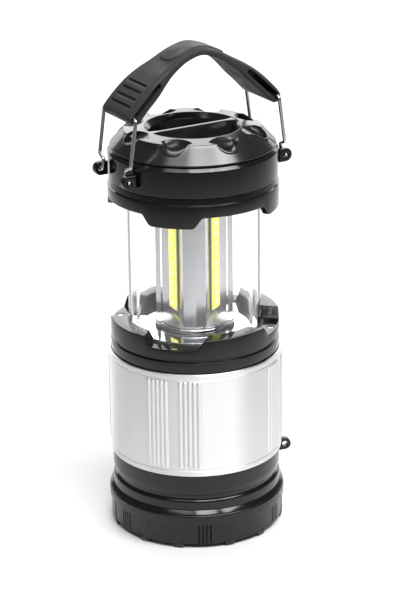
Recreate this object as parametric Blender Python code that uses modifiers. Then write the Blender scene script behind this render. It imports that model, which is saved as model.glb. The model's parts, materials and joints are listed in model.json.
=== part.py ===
"""Collapsible camping lantern.

A clear lamp head telescopes into a lower housing that wears a fluted metal sleeve. Three AA cells lie
in the base under a twist-off ribbed cap. The head carries a three-sided reflector with a lit strip in
each niche, and a handle of two steel wire bails and a rubber strap.

Lengths are in millimetres until a mesh is made, where MM turns them into metres. +Z is up, +X runs
along the handle, and the origin is the middle of the footprint, on the ground.
"""

import math

import bmesh
import bpy
from mathutils import Matrix, Vector

MM = 0.001
GAP = 0.3  # clearance between pieces that touch
ROUND = 40  # sides of a large turned piece
INNER_ROUND = 24  # sides of a disc that is out of sight
SMALL_ROUND = 20  # sides of a cell
SCREW_SIDES = 8

# Base cap: the ribbed ring with feet that twists off.
FOOT_HEIGHT = 2.0
CAP_FLOOR = 2.4
CAP_RADIUS = 44.2  # ribbed lower wall
CAP_BORE = 41.6
CAP_RIM_RADIUS = 45.0  # plain rim over the ribs
CAP_RIM_Z = (12.6, 17.5)
CAP_TOP_Z = 18.4
FOOT_GROUPS = 6
FOOT_OFFSET_DEG = 17.2
CAP_TURN_DEG = 5.0
FOOT_SIZE = (4.4, 5.4)  # radial, tangential
FOOT_RADIUS = 41.7
RIB_GROOVES = 4
RIB_GROOVE_STEP_DEG = 2.6
RIB_GROOVE_SIZE = (1.5, 0.9)  # radial, tangential
RIB_GROOVE_Z = (2.4, 12.4)

# Lower housing.
BAND_RADIUS = 42.9
BAND_BOTTOM_Z = CAP_TOP_Z + GAP
WAIST = ((42.4, 28.6), (41.3, 28.0), (41.3, 26.6), (BAND_RADIUS, 25.2))  # the groove under the band
FLARE_RADIUS = 44.7  # the housing's foot spreads to the rim of the cap
FLARE_TOP_Z = 21.2
SLEEVE_BOTTOM_Z = 39.4
SLEEVE_TOP_Z = 94.0
SPIGOT_BOTTOM_Z = 5.6
SPIGOT_RADIUS = 41.0
SPIGOT_BORE = 38.4
SEAT_RADIUS = 42.6
REGISTER_RADIUS = 40.9
WELL_RADIUS = 39.6
BULKHEAD_Z = 21.1
WELL_FLOOR_Z = 22.6
HOUSING_TOP_Z = 96.0

RAIL_ANGLES = (90, 270)
RAIL_Z = (24.2, 88.0)

# Metal sleeve.
SLEEVE_RADIUS = 43.7
SLEEVE_BORE = SEAT_RADIUS + GAP
FLUTE_HEIGHT = 0.55
FLUTE_GROUP_OFFSET_DEG = 11.1
FLUTES_PER_GROUP = 5
FLUTE_STEP_DEG = 3.1
FLUTE_BOTTOM_Z = 43.6
FLUTE_TOP_Z = 90.2

# Collar with four notches, which take the four tabs of the head.
TAB_ANGLES = (45, 135, 225, 315)
COLLAR_RADIUS = 42.6
COLLAR_TOP_Z = 111.3
NOTCH_FLOOR_Z = 106.1
NOTCH_TOP_HALF = 15.2
NOTCH_FLOOR_HALF = 11.6
TAB_CLEARANCE = 0.4
COLLAR_GROOVE_Z = (99.6, 101.5)
COLLAR_BORE = 34.1
COLLAR_FOOT_Z = 90.0

# Telescoping head.
TRAVEL = 62.2
CARRIER_RADIUS = COLLAR_BORE - GAP
CARRIER_FLANGE_RADIUS = WELL_RADIUS - 2 * GAP
CARRIER_BOTTOM_Z = WELL_FLOOR_Z + TRAVEL + GAP
CARRIER_TOP_Z = 105.2
RING_Z = (87.9, 89.1)
RING_BORE = 37.7
WIPER_Z = (85.4, 87.0)
TUBE_RADIUS = 33.3
TUBE_WALL = 1.6
TUBE_TOP_Z = 182.9
TUBE_FACETS = 12
FLOOR_Z = CARRIER_TOP_Z + GAP
FLOOR_THICKNESS = 0.6

# Reflector column and light strips: ribs at 0, 120 and 240 degrees, niches between them.
RIB_ANGLES = (0, 120, 240)
NICHE_ANGLES = (60, 180, 300)
RIB_CREST = 18.5
RIB_CORNER = (17.8, 5.3)
NICHE_BACK = (11.3, 4.4)
COLUMN_BORE = 9.4
COLUMN_DISC_RADIUS = 19.7
COLUMN_DISC_Z = (106.4, 108.4)
COLUMN_Z = (108.7, 180.7)
PETAL_RISE = 5.2
STRIP_Z = (115.0, 180.0)

# Battery compartment: three AA cells lying along Y.
CELL_RADIUS = 7.2
CELL_LENGTH = 49.0
CELL_PITCH = 15.1
CELL_Z = 12.3
CELL_X = (-CELL_PITCH, 0, CELL_PITCH)
TRAY_PLATE_Z = (19.8, 20.8)
TRAY_END_Y = (27.9, 29.2)

# Cap: skirt with tabs, lugged wall and scalloped top.
SKIRT_RADIUS = 42.5
SKIRT_WALL = 2.8
SKIRT_BOTTOM_Z = 174.3
SKIRT_STEP_Z = 180.3
SKIRT_TOP_Z = 183.6
TAB_BOTTOM_Z = 168.8
WALL_RADIUS = 42.1
WALL_THICKNESS = 2.2
WALL_BOTTOM_Z = SKIRT_TOP_Z + GAP
WALL_SHOULDER_Z = 197.3
WALL_TOP_Z = 198.7
WALL_MOUTH = 38.6
CONE_BOTTOM_Z = 199.5
CONE_RADIUS = 41.0
PLATE_RADIUS = 33.5
PLATE_EDGE_Z = 208.0
DISH_RADIUS = 24.0
DISH_RIM_Z = 208.7
DISH_FLOOR_Z = 198.9
SCALLOP_COUNT = 8
SCALLOP_CENTRE = (32.0, 208.3)
SCALLOP_RADII = (6.9, 7.9, 5.0)
BAR_TOP_WIDTH = 2.0
BAR_FOOT_WIDTH = 4.4
DRIVER_Z = (186.6, 188.0)
DRIVER_RADIUS = 22.0

# Handle: lugs, bails and strap.
PIVOT_X = 44.3
PIVOT_Z = 190.3
LUG_INNER_Y = 12.7
LUG_OUTER_Y = 16.0
LUG_TIP_RADIUS = 3.4
LUG_HOLE_RADIUS = 1.3
WIRE_RADIUS = 0.9
BAIL_TOP = (40.0, 220.8)
BAIL_LOW_Y = 11.4
BAIL_HIGH_Y = 15.9
BAIL_JOG = (5.0, 7.2)  # distances up the leg where the jog starts and ends
STRAP_APEX_Z = 249.8
STRAP_MID_HALF = 10.4
STRAP_END_HALF = 14.0
STRAP_SLOT = 2.9  # width of the slot that holds the bail
STRAP_SLOT_END = (25.4, 234.6)


# ---- helpers -------------------------------------------------------------------------------------


def clear_scene():
    for obj in list(bpy.data.objects):
        bpy.data.objects.remove(obj, do_unlink=True)


def new_collection(name):
    collection = bpy.data.collections.new(name)
    bpy.context.scene.collection.children.link(collection)
    return collection


def new_material(name, colour, roughness, metallic=0.0, transmission=0.0, glow=0.0):
    material = bpy.data.materials.new(name)
    material.use_nodes = True
    shader = material.node_tree.nodes["Principled BSDF"]
    shader.inputs["Base Color"].default_value = (*colour, 1.0)
    shader.inputs["Roughness"].default_value = roughness
    shader.inputs["Metallic"].default_value = metallic
    shader.inputs["Transmission Weight"].default_value = transmission
    if glow:
        shader.inputs["Emission Color"].default_value = (*colour, 1.0)
        shader.inputs["Emission Strength"].default_value = glow
    return material


def place(obj, material=None, cutter=False):
    """Links an object to the parts, or to the cutters, which stay out of the model."""
    if cutter:
        CUTTERS.objects.link(obj)
        obj.hide_render = True
        obj.display_type = "WIRE"
    else:
        PARTS.objects.link(obj)
        obj.data.materials.append(material)
    return obj


def turned(name, profile, material=None, sides=ROUND, cutter=False, centre=(0, 0)):
    """Turns a profile of (radius, height) points about a vertical axis. It runs down its outer side,
    and closes on itself unless both its ends are on the axis."""
    on_axis = profile[0][0] == 0 and profile[-1][0] == 0
    count = len(profile)
    edges = [(i, (i + 1) % count) for i in range(count - 1 if on_axis else count)]
    points = [(r * MM, 0, z * MM) for r, z in profile]
    mesh = bpy.data.meshes.new(name)
    mesh.from_pydata(points, edges, [])
    obj = bpy.data.objects.new(name, mesh)
    obj.location = Vector((*centre, 0)) * MM
    screw = obj.modifiers.new("Turn", "SCREW")
    screw.steps = screw.render_steps = sides
    screw.use_merge_vertices = True
    screw.merge_threshold = 0.00001
    return place(obj, material, cutter)


def from_bmesh(name, bm, material=None, cutter=False):
    mesh = bpy.data.meshes.new(name)
    bm.to_mesh(mesh)
    bm.free()
    return place(bpy.data.objects.new(name, mesh), material, cutter)


def add_box(bm, size, centre, turn_deg=0):
    """Adds a box whose centre is turned about the Z axis with it."""
    matrix = Matrix.Rotation(math.radians(turn_deg), 4, "Z")
    matrix = matrix @ Matrix.Translation(Vector(centre) * MM)
    matrix = matrix @ Matrix.Diagonal((*(Vector(size) * MM), 1))
    bmesh.ops.create_cube(bm, size=1, matrix=matrix)


def add_cylinder(bm, radius, z_range, centre=(0, 0)):
    low, high = z_range
    matrix = Matrix.Translation(Vector((*centre, (low + high) / 2)) * MM)
    bmesh.ops.create_cone(
        bm, cap_ends=True, segments=SCREW_SIDES, radius1=radius * MM, radius2=radius * MM,
        depth=(high - low) * MM, matrix=matrix)


def boolean(obj, other, operation="DIFFERENCE"):
    modifier = obj.modifiers.new(operation.title(), "BOOLEAN")
    modifier.operation = operation
    modifier.object = other


def drill(obj, name, places, radius, z_range):
    """Cuts one round hole at each place."""
    holes = bmesh.new()
    for place_mm in places:
        add_cylinder(holes, radius, z_range, place_mm)
    boolean(obj, from_bmesh(name, holes, cutter=True))


def evaluated_mesh(obj, name):
    """Makes an evaluated object a plain mesh with its loose caps welded, and removes the original."""
    bpy.context.view_layer.update()
    graph = bpy.context.evaluated_depsgraph_get()
    mesh = bpy.data.meshes.new_from_object(obj.evaluated_get(graph))
    matrix = obj.matrix_world.copy()
    bpy.data.objects.remove(obj, do_unlink=True)
    bm = bmesh.new()
    bm.from_mesh(mesh)
    bmesh.ops.remove_doubles(bm, verts=bm.verts, dist=0.000001)
    bmesh.ops.recalc_face_normals(bm, faces=bm.faces)
    bm.to_mesh(mesh)
    bm.free()
    mesh.name = name
    solid = bpy.data.objects.new(name, mesh)
    solid.matrix_world = matrix
    return solid


def curve_object(name, outlines, flat, closed):
    curve = bpy.data.curves.new(name, "CURVE")
    curve.dimensions = "2D" if flat else "3D"
    for outline in outlines:
        spline = curve.splines.new("POLY")
        spline.points.add(len(outline) - 1)
        for point, place_mm in zip(spline.points, outline):
            point.co = (*(Vector(place_mm).to_3d() * MM), 1)
        spline.use_cyclic_u = closed
    obj = bpy.data.objects.new(name, curve)
    CUTTERS.objects.link(obj)
    return obj


def plate(name, outlines, thickness, matrix, material=None, cutter=False):
    """A flat outline, with any holes in it, made thick and set in place by a matrix."""
    obj = curve_object(name, outlines, flat=True, closed=True)
    obj.data.fill_mode = "BOTH"
    obj.data.extrude = thickness / 2 * MM
    obj.matrix_world = matrix
    return place(evaluated_mesh(obj, name), material, cutter)


def wire(name, points, radius, pivot=(0, 0, 0)):
    """A round wire through a list of points, as a curve measured from its pivot."""
    local = [Vector(point) - Vector(pivot) for point in points]
    obj = curve_object(name, [local], flat=False, closed=False)
    obj.data.bevel_depth = radius * MM
    obj.data.bevel_resolution = 1
    obj.data.use_fill_caps = True
    obj.location = Vector(pivot) * MM
    return evaluated_mesh(obj, name)


def arc(centre, radius, start_deg, end_deg, steps):
    """Points on an arc in a plane, both ends included."""
    angles = [math.radians(start_deg + (end_deg - start_deg) * i / steps) for i in range(steps + 1)]
    return [(centre[0] + radius * math.cos(a), centre[1] + radius * math.sin(a)) for a in angles]


def radial_frame(angle_deg, radius):
    """A frame on the lantern's side: X runs round it, Y up and Z outwards."""
    a = math.radians(angle_deg)
    columns = ((-math.sin(a), math.cos(a), 0), (0, 0, 1), (math.cos(a), math.sin(a), 0))
    matrix = Matrix(columns).transposed().to_4x4()
    matrix.translation = Vector(columns[2]) * radius * MM
    return matrix


def smooth(obj):
    obj.data.shade_smooth()
    obj.data.set_sharp_from_angle(angle=math.radians(35))


# ---- base cap ------------------------------------------------------------------------------------


def base_cap(material):
    floor = FOOT_HEIGHT + CAP_FLOOR
    rim_low, rim_high = CAP_RIM_Z
    profile = [
        (0, floor), (CAP_BORE, floor), (CAP_BORE, CAP_TOP_Z), (CAP_RIM_RADIUS - 0.7, CAP_TOP_Z),
        (CAP_RIM_RADIUS, rim_high), (CAP_RIM_RADIUS, rim_low), (CAP_RADIUS, rim_low - 0.2),
        (CAP_RADIUS, FOOT_HEIGHT), (0, FOOT_HEIGHT)]
    cap = turned("base_cap", profile, material)
    feet = bmesh.new()
    grooves = bmesh.new()
    rib_low, rib_high = RIB_GROOVE_Z
    rib_size = (*RIB_GROOVE_SIZE, rib_high - rib_low)
    for group in range(FOOT_GROUPS):
        middle = CAP_TURN_DEG + group * 360 / FOOT_GROUPS
        for side in (-1, 1):
            size = (*FOOT_SIZE, FOOT_HEIGHT + 1)
            centre = (FOOT_RADIUS, 0, size[2] / 2)
            add_box(feet, size, centre, middle + 30 + side * (30 - FOOT_OFFSET_DEG))
        for i in range(RIB_GROOVES):
            turn = middle + (i - (RIB_GROOVES - 1) / 2) * RIB_GROOVE_STEP_DEG
            add_box(grooves, rib_size, (CAP_RADIUS, 0, (rib_low + rib_high) / 2), turn)
    boolean(cap, from_bmesh("cap_feet", feet, cutter=True), "UNION")
    boolean(cap, from_bmesh("cap_grooves", grooves, cutter=True))
    return cap


def base_seal(material):
    squeeze = 0.1
    low, high = FOOT_HEIGHT + CAP_FLOOR + squeeze, SPIGOT_BOTTOM_Z - squeeze
    outer, bore = SPIGOT_RADIUS - 0.4, SPIGOT_BORE + 0.4
    profile = [(outer, high), (outer, low), (bore, low), (bore, high)]
    return turned("base_seal", profile, material, INNER_ROUND)


# ---- lower housing, sleeve and collar ------------------------------------------------------------


def lower_housing(material):
    profile = [
        (0, WELL_FLOOR_Z), (WELL_RADIUS, WELL_FLOOR_Z), (WELL_RADIUS, HOUSING_TOP_Z),
        (REGISTER_RADIUS, HOUSING_TOP_Z), (REGISTER_RADIUS, SLEEVE_TOP_Z - GAP),
        (SEAT_RADIUS, SLEEVE_TOP_Z - GAP), (SEAT_RADIUS, SLEEVE_BOTTOM_Z - GAP),
        (BAND_RADIUS, SLEEVE_BOTTOM_Z - GAP), (BAND_RADIUS, 31.4), *WAIST,
        (BAND_RADIUS, FLARE_TOP_Z), (FLARE_RADIUS, BAND_BOTTOM_Z + 0.1),
        (FLARE_RADIUS - 0.1, BAND_BOTTOM_Z), (SPIGOT_RADIUS, BAND_BOTTOM_Z),
        (SPIGOT_RADIUS, SPIGOT_BOTTOM_Z),
        (SPIGOT_BORE, SPIGOT_BOTTOM_Z), (SPIGOT_BORE, BULKHEAD_Z), (0, BULKHEAD_Z)]
    housing = turned("lower_housing", profile, material)
    boolean(housing, cord_lug(), "UNION")
    grooves = bmesh.new()
    low, high = RAIL_Z[0] - 0.4, RAIL_Z[1] + 0.4
    for angle in RAIL_ANGLES:
        add_box(grooves, (1.6, 5.8, high - low), (WELL_RADIUS + 0.1, 0, (low + high) / 2), angle)
    boolean(housing, from_bmesh("rail_grooves", grooves, cutter=True))
    return housing


def cord_lug():
    """The moulded eye for a wrist cord, just under the sleeve."""
    turn_deg, centre_z, tip, thickness = -20, 34.4, 46.4, 3.4
    tip_radius, eye_radius, root_half = 3.2, 1.4, 3.6
    root = REGISTER_RADIUS + 0.1
    outline = [(root, centre_z - root_half)] + arc((tip, centre_z), tip_radius, -90, 90, 8)
    outline += [(root, centre_z + root_half)]
    hole = arc((tip, centre_z), eye_radius, 0, 330, 11)
    turn = Matrix.Rotation(math.radians(turn_deg), 4, "Z") @ Matrix.Rotation(math.pi / 2, 4, "X")
    return plate("cord_lug", [outline, hole], thickness, turn, cutter=True)


def sleeve_outline():
    """The sleeve's outer outline: a circle with raised flutes in a pair of groups at each tab."""
    crests = []
    for tab in TAB_ANGLES:
        for side in (-1, 1):
            for i in range(FLUTES_PER_GROUP):
                step = (i - (FLUTES_PER_GROUP - 1) / 2) * FLUTE_STEP_DEG
                crests.append(tab + side * FLUTE_GROUP_OFFSET_DEG + step)
    half = FLUTE_STEP_DEG / 2
    marks = {round(crest, 3): SLEEVE_RADIUS + FLUTE_HEIGHT for crest in crests}
    for crest in crests:
        for edge in (crest - half, crest + half):
            marks[round(edge % 360, 3)] = SLEEVE_RADIUS
    for angle in range(0, 360, 6):
        if min(abs(angle - crest) for crest in crests) > FLUTE_STEP_DEG:
            marks[float(angle)] = SLEEVE_RADIUS
    return [arc((0, 0), marks[a], a, a, 1)[0] for a in sorted(marks)]


def metal_sleeve(material):
    middle = (SLEEVE_BOTTOM_Z + SLEEVE_TOP_Z) / 2
    bore = arc((0, 0), SLEEVE_BORE, 0, 360 - 360 / ROUND, ROUND - 1)
    rise = Matrix.Translation((0, 0, middle * MM))
    sleeve = plate("metal_sleeve", [sleeve_outline(), bore], SLEEVE_TOP_Z - SLEEVE_BOTTOM_Z, rise,
                   material)
    inner, outer = SLEEVE_RADIUS + 0.08, SLEEVE_RADIUS + 2
    for name, low, high in (("sleeve_foot", SLEEVE_BOTTOM_Z - 1, FLUTE_BOTTOM_Z),
                            ("sleeve_head", FLUTE_TOP_Z, SLEEVE_TOP_Z + 1)):
        ring = [(outer, high), (outer, low), (inner, low), (inner, high)]
        boolean(sleeve, turned(name, ring, cutter=True, sides=72))
    return sleeve


def notch_shape(name, angle_deg, clearance, bottom_z, top_z, radii):
    """The wedge of a notch or, with clearance, of the tab that fits it."""
    inner, outer = radii
    slope = (NOTCH_TOP_HALF - NOTCH_FLOOR_HALF) / (COLLAR_TOP_Z - NOTCH_FLOOR_Z)
    low_half = NOTCH_FLOOR_HALF - clearance
    high_half = low_half + slope * (top_z - bottom_z)
    outline = [(-low_half, bottom_z), (low_half, bottom_z), (high_half, top_z), (-high_half, top_z)]
    matrix = radial_frame(angle_deg, (inner + outer) / 2)
    return plate(name, [outline], outer - inner, matrix, cutter=True)


def collar_ring(material):
    low_groove, high_groove = COLLAR_GROOVE_Z
    top_of_register = HOUSING_TOP_Z + GAP
    spigot = WELL_RADIUS - GAP
    profile = [
        (COLLAR_BORE + 0.8, COLLAR_TOP_Z), (COLLAR_RADIUS - 0.5, COLLAR_TOP_Z),
        (COLLAR_RADIUS, COLLAR_TOP_Z - 0.5), (COLLAR_RADIUS, high_groove),
        (COLLAR_RADIUS - 1, high_groove - 0.4), (COLLAR_RADIUS - 1, low_groove + 0.4),
        (COLLAR_RADIUS, low_groove), (COLLAR_RADIUS, SLEEVE_TOP_Z + GAP),
        (REGISTER_RADIUS + GAP, SLEEVE_TOP_Z + GAP), (REGISTER_RADIUS + GAP, top_of_register),
        (spigot, top_of_register), (spigot, COLLAR_FOOT_Z), (COLLAR_BORE, COLLAR_FOOT_Z),
        (COLLAR_BORE, COLLAR_TOP_Z - 0.8)]
    collar = turned("collar_ring", profile, material)
    for angle in TAB_ANGLES:
        name = f"collar_notch_{angle}"
        cutter = notch_shape(name, angle, 0, NOTCH_FLOOR_Z, COLLAR_TOP_Z + 1, (28, 52))
        boolean(collar, cutter)
    places = collar_screw_places()
    drill(collar, "collar_head_seats", places, 1.9, (NOTCH_FLOOR_Z - 1.6, NOTCH_FLOOR_Z + 1))
    drill(collar, "collar_shank_holes", places, 1.1, (HOUSING_TOP_Z - 1, NOTCH_FLOOR_Z))
    return collar


def collar_screw_places():
    return [arc((0, 0), 39.2, angle, angle, 1)[0] for angle in TAB_ANGLES]


def collar_screw(index, material):
    """One of the screws in the notch floors that hold the collar to the housing."""
    head, shank = 1.6, 0.8
    top, seam, tip = NOTCH_FLOOR_Z - 0.2, NOTCH_FLOOR_Z - 1.3, HOUSING_TOP_Z + 0.8
    profile = [(0, top), (head, top), (head, seam), (shank, seam), (shank, tip), (0, tip)]
    centre = collar_screw_places()[index]
    turned(f"collar_screw_{index + 1}", profile, material, SCREW_SIDES, centre=centre)


# ---- battery compartment -------------------------------------------------------------------------

def battery_tray(material):
    """A cradle under the bulkhead: a round plate with end walls, side walls and two ribs."""
    low, high = TRAY_PLATE_Z
    plate_profile = [(0, high), (36.8, high), (36.8, low), (0, low)]
    tray = turned("battery_tray", plate_profile, material)
    walls = bmesh.new()
    near, far = TRAY_END_Y
    for side in (-1, 1):
        add_box(walls, (44, far - near, 13), (0, side * (near + far) / 2, low - 6))
    boolean(tray, from_bmesh("tray_ends", walls, cutter=True), "UNION")
    ribs = bmesh.new()
    for side in (-1, 1):
        add_box(ribs, (1.2, 50, 10), (side * 24.0, 0, low - 4.5))
        add_box(ribs, (1.4, 40, 2.4), (side * CELL_PITCH / 2, 0, low - 0.7))
    boolean(tray, from_bmesh("tray_ribs", ribs, cutter=True), "UNION")
    return tray


def battery_cell(index, material):
    """A cell lying along Y, with its raised end to the front or the back in turn."""
    half = CELL_LENGTH / 2
    profile = [
        (0, half + 1.0), (2.7, half + 1.0), (2.7, half), (CELL_RADIUS, half), (CELL_RADIUS, -half),
        (0, -half)]
    cell = turned(f"battery_cell_{index + 1}", profile, material, sides=SMALL_ROUND)
    turn = -90 if index % 2 else 90
    cell.rotation_euler = (math.radians(turn), 0, 0)
    cell.location = Vector((CELL_X[index], 0, CELL_Z)) * MM
    return cell


def contact_spring(index, material):
    """A cone spring at the flat end of one cell."""
    x, flat_end = CELL_X[index], 1 if index % 2 else -1
    turns, steps, wide, narrow, depth = 2, 18, 4.6, 3.0, 1.1
    points = []
    for i in range(steps + 1):
        angle = 2 * math.pi * turns * i / steps
        radius = wide - (wide - narrow) * i / steps
        y = flat_end * (TRAY_END_Y[0] - 1.2 - depth * i / steps)
        points.append((x + radius * math.cos(angle), y, CELL_Z + radius * math.sin(angle)))
    place(wire(f"contact_spring_{index + 1}", points, 0.2), material)


def contact_plates(material):
    """The stamped plates behind the cells' ends: singles and bridges that put them in series."""
    y = TRAY_END_Y[0] - 0.3 - 0.2
    half = CELL_PITCH / 2
    spots = ((-1, -CELL_PITCH, 10), (-1, half, 25.2), (1, -half, 25.2), (1, CELL_PITCH, 10))
    for index, (side, x, width) in enumerate(spots):
        bm = bmesh.new()
        add_box(bm, (width, 0.4, 9), (x, side * y, CELL_Z))
        from_bmesh(f"contact_plate_{index + 1}", bm, material)


def contact_rails(material):
    """Two brass strips set in the well's wall. The head's wipers reach them when it is pulled up."""
    low, high = RAIL_Z
    for index, angle in enumerate(RAIL_ANGLES):
        bm = bmesh.new()
        add_box(bm, (0.4, 5, high - low), (WELL_RADIUS + 0.35, 0, (low + high) / 2), angle)
        from_bmesh(f"contact_rail_{index + 1}", bm, material)


# ---- telescoping lamp ----------------------------------------------------------------------------


def tube_carrier(material):
    wall = 2.4
    groove = RING_BORE - 0.2
    flange_z = COLLAR_FOOT_Z - GAP
    seat_low, seat_high = RING_Z[0] - 0.2, RING_Z[1] + 0.2
    profile = [
        (0, CARRIER_TOP_Z), (CARRIER_RADIUS, CARRIER_TOP_Z), (CARRIER_RADIUS, flange_z),
        (CARRIER_FLANGE_RADIUS, flange_z), (CARRIER_FLANGE_RADIUS, seat_high),
        (groove, seat_high), (groove, seat_low), (CARRIER_FLANGE_RADIUS, seat_low),
        (CARRIER_FLANGE_RADIUS, CARRIER_BOTTOM_Z), (CARRIER_RADIUS - wall, CARRIER_BOTTOM_Z),
        (CARRIER_RADIUS - wall, CARRIER_TOP_Z - 2), (0, CARRIER_TOP_Z - 2)]
    carrier = turned("tube_carrier", profile, material)
    drill(carrier, "lead_holes", lead_places(), 1.3, (CARRIER_TOP_Z - 3, CARRIER_TOP_Z + 1))
    slots = bmesh.new()
    low, high = CARRIER_BOTTOM_Z - 1, WIPER_Z[1] + 0.3
    for angle in RAIL_ANGLES:
        centre = (CARRIER_FLANGE_RADIUS + 0.4, 0, (low + high) / 2)
        add_box(slots, (3.6, 5.4, high - low), centre, angle)
    boolean(carrier, from_bmesh("wiper_slots", slots, cutter=True))
    return carrier


def friction_ring(material):
    """A rubber ring round the carrier's flange. It drags on the well, which holds the head up."""
    low, high = RING_Z
    outer = WELL_RADIUS - GAP
    profile = [(outer, high), (outer, low), (RING_BORE, low), (RING_BORE, high)]
    return turned("friction_ring", profile, material)


def wiper_contacts(material):
    """Two sprung blades on the carrier's flange that touch the rails in the well."""
    low, high = WIPER_Z
    middle = (low + high) / 2
    for index, angle in enumerate(RAIL_ANGLES):
        blade = bmesh.new()
        add_box(blade, (0.6, 4.4, high - low), (WELL_RADIUS - 1.4, 0, middle), angle)
        tip = bmesh.new()
        add_box(tip, (1.4, 3.0, 0.8), (WELL_RADIUS - 0.85, 0, middle), angle)
        name = f"wiper_contact_{index + 1}"
        boolean(from_bmesh(name, blade, material), from_bmesh(f"wiper_tip_{index}", tip, cutter=True),
                "UNION")


def clear_tube(material):
    """A clear tube with twelve slight facets outside and a round bore."""
    side = 360 / TUBE_FACETS
    outline = []
    for i in range(TUBE_FACETS):
        outline += arc((0, 0), TUBE_RADIUS, i * side, i * side, 1)[:1]
        flat = TUBE_RADIUS * math.cos(math.radians(side / 2)) + 0.75
        outline += arc((0, 0), flat, (i + 1 / 3) * side, (i + 2 / 3) * side, 1)
    bore = arc((0, 0), TUBE_RADIUS - TUBE_WALL, 0, 350, 35)
    length = TUBE_TOP_Z - FLOOR_Z
    rise = Matrix.Translation((0, 0, (TUBE_TOP_Z + FLOOR_Z) / 2 * MM))
    return plate("clear_tube", [outline, bore], length, rise, material)


def disc(name, radius, z_range, material, bore=0, sides=INNER_ROUND):
    low, high = z_range
    if bore:
        return turned(name, [(radius, high), (radius, low), (bore, low), (bore, high)], material,
                      sides)
    return turned(name, [(0, high), (radius, high), (radius, low), (0, low)], material, sides)


def column_outline():
    """The reflector's section: a shallow crest on each rib and a flat back in each niche."""
    points = []
    for rib in RIB_ANGLES:
        turn = Matrix.Rotation(math.radians(rib), 2)
        niche = Matrix.Rotation(math.radians(rib + 60), 2)
        points += [turn @ Vector((RIB_CORNER[0], -RIB_CORNER[1])), turn @ Vector((RIB_CREST, 0)),
                   turn @ Vector(RIB_CORNER)]
        points += [niche @ Vector((NICHE_BACK[0], -NICHE_BACK[1])), niche @ Vector(NICHE_BACK)]
    return [tuple(point) for point in points]


def reflector_column(material):
    low, high = COLUMN_Z
    bore = arc((0, 0), COLUMN_BORE, 0, 345, 23)
    rise = Matrix.Translation((0, 0, (low + high) / 2 * MM))
    column = plate("reflector_column", [column_outline(), bore], high - low, rise, material)
    inner, outer = NICHE_BACK[0] - 1, COLUMN_DISC_RADIUS - 0.6
    slope = [(inner, low + PETAL_RISE), (outer, low + 0.6), (outer, low), (inner, low)]
    boolean(column, turned("petals", slope, cutter=True, sides=36), "UNION")
    return column


def lead_places():
    return [(-3.0, 0), (3.0, 0)]


def light_strips(board_material, glow_material):
    """A board with a lit strip on its face, standing in each niche."""
    low, high = STRIP_Z
    for index, angle in enumerate(NICHE_ANGLES):
        board = bmesh.new()
        add_box(board, (0.8, 8.2, high - low), (12.0, 0, (low + high) / 2), angle)
        from_bmesh(f"light_board_{index + 1}", board, board_material)
        strip = bmesh.new()
        add_box(strip, (0.5, 6.4, high - low - 1.6), (12.95, 0, (low + high) / 2), angle)
        from_bmesh(f"light_strip_{index + 1}", strip, glow_material)


def lead_wires(material):
    """Two leads from the carrier up the column's bore to the driver board."""
    bottom, top = CARRIER_TOP_Z - 6, DRIVER_Z[0] - GAP
    for index, (x, y) in enumerate(lead_places()):
        points = [(x, y, bottom), (x, y, bottom + 8), (x * 1.2, y, 140), (x, y, top - 4), (x, y, top)]
        place(wire(f"lead_wire_{index + 1}", points, 0.7), material)


# ---- cap -----------------------------------------------------------------------------------------

def cap_skirt(material):
    inner = SKIRT_RADIUS - SKIRT_WALL
    shelf = TUBE_RADIUS + GAP
    profile = [
        (shelf, SKIRT_TOP_Z), (WALL_RADIUS - 0.5, SKIRT_TOP_Z), (WALL_RADIUS - 0.5, SKIRT_STEP_Z + 0.3),
        (SKIRT_RADIUS, SKIRT_STEP_Z), (SKIRT_RADIUS, SKIRT_BOTTOM_Z), (inner, SKIRT_BOTTOM_Z),
        (inner, SKIRT_STEP_Z + 0.6), (shelf, SKIRT_STEP_Z + 0.6)]
    skirt = turned("cap_skirt", profile, material)
    for angle in TAB_ANGLES:
        ring = [(SKIRT_RADIUS - 0.02, SKIRT_STEP_Z - 1), (SKIRT_RADIUS - 0.02, TAB_BOTTOM_Z - 1),
                (inner + 0.02, TAB_BOTTOM_Z - 1), (inner + 0.02, SKIRT_STEP_Z - 1)]
        tab = turned(f"skirt_tab_{angle}", ring, cutter=True)
        wedge = notch_shape(f"tab_wedge_{angle}", angle, TAB_CLEARANCE, TAB_BOTTOM_Z,
                            SKIRT_BOTTOM_Z + 1.2, (30, 50))
        boolean(tab, wedge, "INTERSECT")
        boolean(skirt, tab, "UNION")
    return skirt


def lug(side_x, side_y):
    """A rounded tab with an eye, standing out of the cap's wall for the end of a bail."""
    root = WALL_RADIUS - 3.7
    outline = [(root, PIVOT_Z - LUG_TIP_RADIUS)]
    outline += arc((PIVOT_X, PIVOT_Z), LUG_TIP_RADIUS, -90, 90, 8)
    outline += [(root, PIVOT_Z + LUG_TIP_RADIUS)]
    eye = arc((PIVOT_X, PIVOT_Z), LUG_HOLE_RADIUS, 0, 324, 9)
    upright = Matrix.Rotation(math.pi / 2, 4, "X")
    upright.translation = (0, side_y * (LUG_INNER_Y + LUG_OUTER_Y) / 2 * MM, 0)
    facing = Matrix.Rotation(0 if side_x > 0 else math.pi, 4, "Z")
    name = f"lug_{'right' if side_x > 0 else 'left'}_{'rear' if side_y > 0 else 'front'}"
    return plate(name, [outline, eye], LUG_OUTER_Y - LUG_INNER_Y, facing @ upright, cutter=True)


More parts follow.
